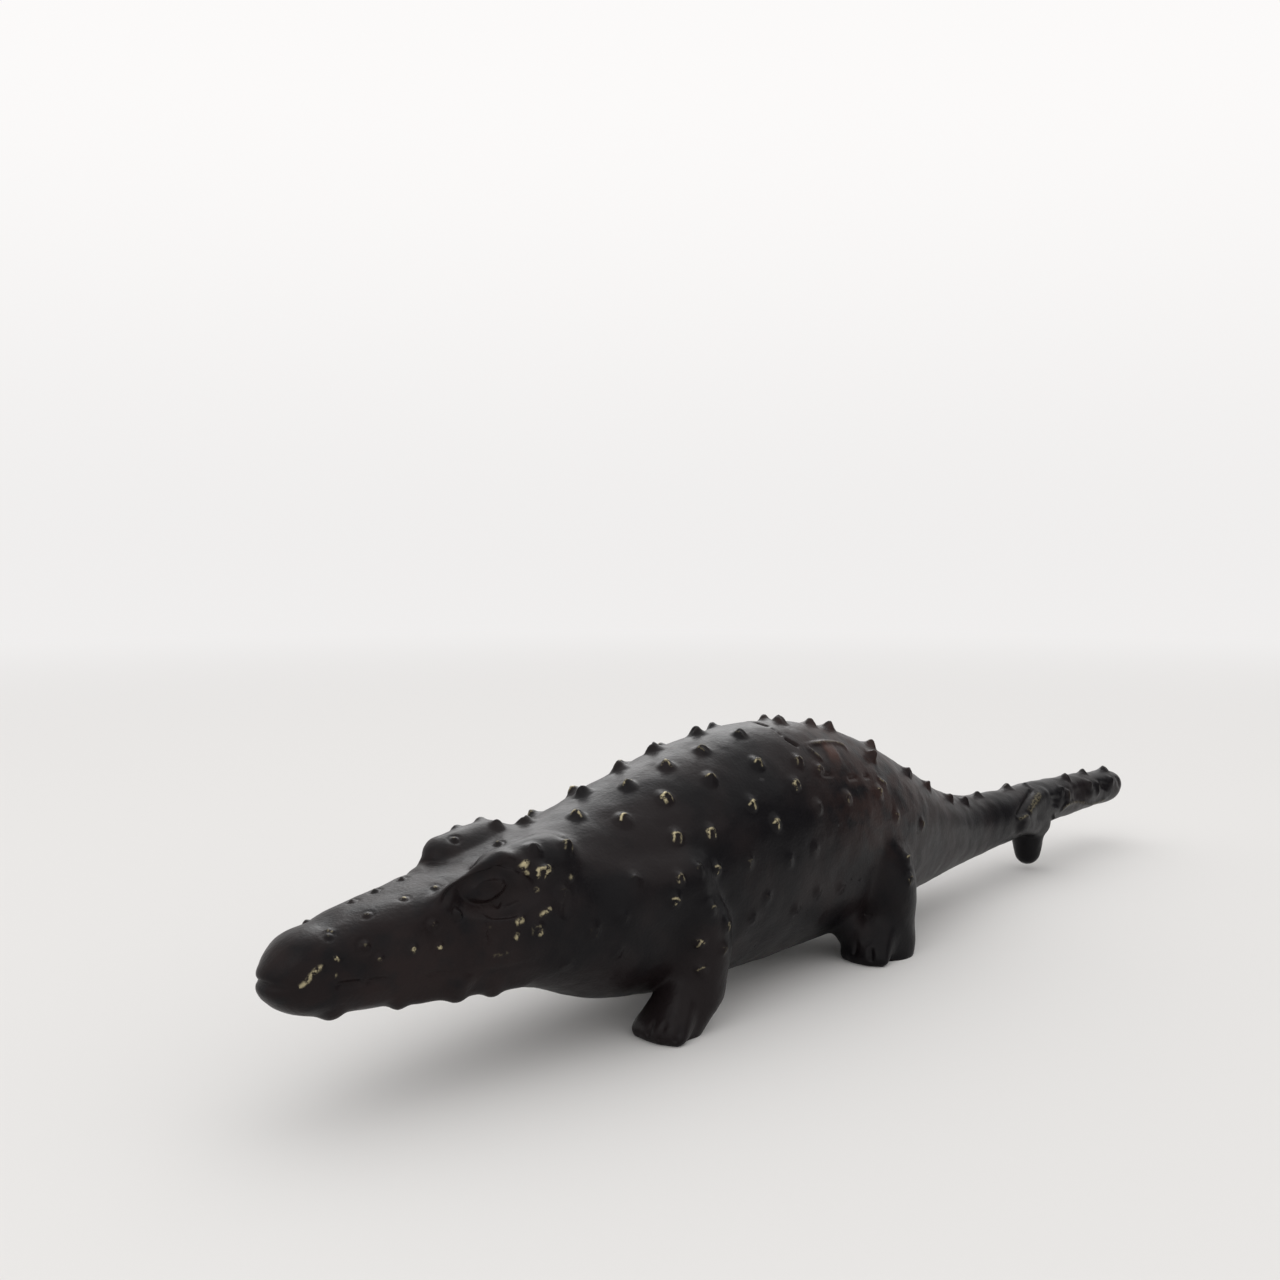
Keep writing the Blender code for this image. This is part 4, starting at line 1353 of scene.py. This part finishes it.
@dataclass
class Studio:
    """A pale floor, soft light and the camera at the photograph's angle.

    Attributes:
        camera: Along, aside and up of the camera.
        heading: The camera's level direction, along X and Y.
        pitch: How far it looks down, in degrees.
        sensor: Width of its sensor in millimetres.
        lens: Its focal length.
        floor_radius: Radius of the floor, in metres.
        spread: How far out the floor starts to glow like the surround, and only glows.
        sky_low: Strength of the surround at the horizon and below.
        sky_high: Its strength above.
        sky_rise: How high above the horizon it gets there, as the Z of a direction.
        flag_place: Middle of the dark card, in metres.
        flag_size: Its width and height.
    """

    camera: Spot = (-0.317, 0.577, 0.292)
    heading: tuple[float, float] = (0.715, 0.699)
    pitch: float = 3.574
    sensor: float = 36.0
    lens: float = 36.03
    floor_color: tuple = (0.74, 0.735, 0.725, 1)
    floor_radius: float = 30.0
    floor_roughness: float = 0.7
    spread: tuple[float, float] = (0.35, 2.2)
    sky: tuple = (1.0, 0.985, 0.978, 1)
    sky_low: float = 0.87
    sky_high: float = 0.97
    sky_rise: float = 0.35
    flag_place: Spot = (1.0, -0.80, 0.25)
    flag_size: tuple[float, float] = (1.7, 0.9)
    flag_color: tuple = (0.10, 0.10, 0.11, 1)
    lamps: tuple[Lamp, ...] = (
        Lamp("overhead", (0.15, 0.25, 1.3), (0.0, 0.0, 0.0), 1.6, 3.0),
        Lamp("softbox", (0.70, 0.80, 0.85), (0.05, 0.0, 0.05), 0.9, 8.0, gloss_only=True),
        Lamp("window", (-1.1, -0.3, 0.9), (-0.05, 0.0, 0.05), 0.7, 1.5),
    )

    def build(self) -> None:
        """Makes the floor, the world, the lights and the camera."""
        self.floor()
        self.world()
        for lamp in self.lamps:
            lamp.hang()
        self.flag()
        self.place_camera()
        bpy.context.scene.view_settings.view_transform = "Standard"

    def floor(self) -> None:
        """A wide disc under the feet that fades into the surround far from them."""
        bpy.ops.object.select_all(action="DESELECT")
        bpy.ops.mesh.primitive_circle_add(vertices=96, radius=self.floor_radius, fill_type="TRIFAN")
        disc = bpy.context.active_object
        disc.name = "floor"
        paint = bpy.data.materials.new("pale floor")
        net = Net(paint)
        shader = net.nodes["Principled BSDF"]
        near = {"Base Color": self.floor_color, "Roughness": self.floor_roughness, "Specular IOR Level": 0.0}
        net.give(shader, near)
        where = net.add("TexCoord", "Object", {})
        share = net.fade(net.add("VectorMath", "Value", {0: where}, operation="LENGTH"), self.spread)
        glow = net.add("Emission", "Emission", {"Color": self.sky, "Strength": self.sky_low})
        both = net.add("MixShader", "Shader", {0: share, 1: shader.outputs[0], 2: glow})
        net.give(net.nodes["Material Output"], {"Surface": both})
        disc.data.materials.append(paint)

    def flag(self) -> None:
        """A dark card beyond the tail, to the camera's right, that only the bronze's gloss sees."""
        bpy.ops.object.select_all(action="DESELECT")
        bpy.ops.mesh.primitive_plane_add(size=1, location=self.flag_place)
        card = bpy.context.active_object
        card.name = "flag"
        card.scale = (*self.flag_size, 1.0)
        card.rotation_euler = (-Vector(self.flag_place)).to_track_quat("Z", "Y").to_euler()
        bpy.ops.object.transform_apply(location=True, rotation=True, scale=True)
        paint = bpy.data.materials.new("dark card")
        net = Net(paint)
        net.give(net.nodes["Principled BSDF"], {"Base Color": self.flag_color, "Roughness": 1.0})
        card.data.materials.append(paint)
        card.visible_camera = card.visible_diffuse = card.visible_shadow = False

    def world(self) -> None:
        """A pale surround, brighter above."""
        world = bpy.data.worlds.new("surround")
        net = Net(world)
        where = net.add("TexCoord", "Generated", {})
        height = net.add("SeparateXYZ", "Z", {0: where})
        strength = net.fade(height, (0.0, self.sky_rise), (self.sky_low, self.sky_high))
        net.give(net.nodes["Background"], {"Color": self.sky, "Strength": strength})
        bpy.context.scene.world = world

    def place_camera(self) -> None:
        """The camera, as far from the solid's snout as the photograph's was."""
        ahead = Vector((*self.heading, 0.0)).normalized()
        right = ahead.cross(Vector((0, 0, 1)))
        tilt = math.radians(self.pitch)
        view = ahead * math.cos(tilt) - Vector((0, 0, 1)) * math.sin(tilt)
        up = right.cross(view)
        camera = bpy.data.cameras.new("camera")
        camera.sensor_width = self.sensor
        camera.lens = self.lens
        obj = bpy.data.objects.new("camera", camera)
        turn = Matrix((right, up, -view)).transposed().to_4x4()
        snout = Vector((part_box(CASTING)[0].x, 0, 0))
        obj.matrix_world = Matrix.Translation(snout + place(*self.camera)) @ turn
        bpy.context.scene.collection.objects.link(obj)
        bpy.context.scene.camera = obj


@dataclass
class Crocodile:
    """The whole casting, from its shells to its patina.

    Attributes:
        head_melts: Places on the left whose joins are melted, each with a radius in metres. The right
            repeats them.
        front_melts: The same round the left front leg.
        rear_melts: The same round the left rear leg.
    """

    trunk: Trunk = field(default_factory=Trunk)
    casting: Casting = field(default_factory=Casting)
    bronze: Bronze = field(default_factory=Bronze)
    head_melts: tuple = (
        ((0.180, 0.038, 0.118), 0.020), ((0.182, 0.050, 0.100), 0.015), ((0.090, 0.033, 0.106), 0.0085),
        ((0.110, 0.037, 0.108), 0.0110),
    )
    front_melts: tuple = (
        ((0.198, 0.055, 0.085), 0.022), ((0.238, 0.055, 0.060), 0.016), ((0.238, 0.050, 0.122), 0.019),
        ((0.288, 0.048, 0.122), 0.014), ((0.232, 0.058, 0.010), 0.012),
    )
    rear_melts: tuple = (
        ((0.476, 0.050, 0.105), 0.036), ((0.440, 0.055, 0.070), 0.028), ((0.515, 0.050, 0.075), 0.030),
        ((0.466, 0.052, 0.030), 0.018), ((0.452, 0.060, 0.012), 0.013), ((0.470, 0.070, 0.012), 0.010),
    )

    def shells(self) -> list[bpy.types.Object]:
        """Every shell of the casting, overlapping where they join."""
        made = self.trunk.build() + Head(self.trunk).build() + TailPeg().build()
        for side in Side:
            back = STRIDE if side is Side.RIGHT else 0.0
            made += Leg(side, FRONT_LEG, FRONT_FOOT, back).build()
            made += Leg(side, REAR_LEG, REAR_FOOT, -back).build()
            made += Shoulder(side, back).build()
            made += KneeWeb(side, -back).build()
        return made

    def melts(self) -> list[tuple[Vector, float]]:
        """Where the joins are melted: behind the brows, round the shoulders and hips, and on the feet."""
        made = []
        for side in Side:
            back = STRIDE if side is Side.RIGHT else 0.0
            groups = ((self.head_melts, 0.0), (self.front_melts, back), (self.rear_melts, -back))
            for places, forward in groups:
                made += [(sided(spot, side, forward), radius) for spot, radius in places]
        return made

    def build(self) -> bpy.types.Object:
        """Models, carves and finishes the casting.

        Returns:
            The piece that stands for the solid.
        """
        skin = self.casting.fuse(self.shells(), self.melts())
        log.info("fused %d points", len(skin.points))
        for stroke in (Eyes(), Mouth(), Knobs(self.trunk), Strokes(), Tarnish()):
            stroke.carve(skin)
            log.info("carved %s", type(stroke).__name__.lower())
        piece = self.casting.finish(skin)
        piece.data.materials.clear()
        piece.data.materials.append(self.bronze.material())
        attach(piece, "root")
        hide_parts(CASTING)
        return piece


def main() -> None:
    """Builds the crocodile and its studio."""
    logging.basicConfig(level=logging.INFO, format="%(name)s: %(message)s")
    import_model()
    piece = Crocodile().build()
    log.info("%s has %d triangles", piece.name, len(piece.data.polygons))
    Studio().build()


if __name__ == "__main__":
    main()
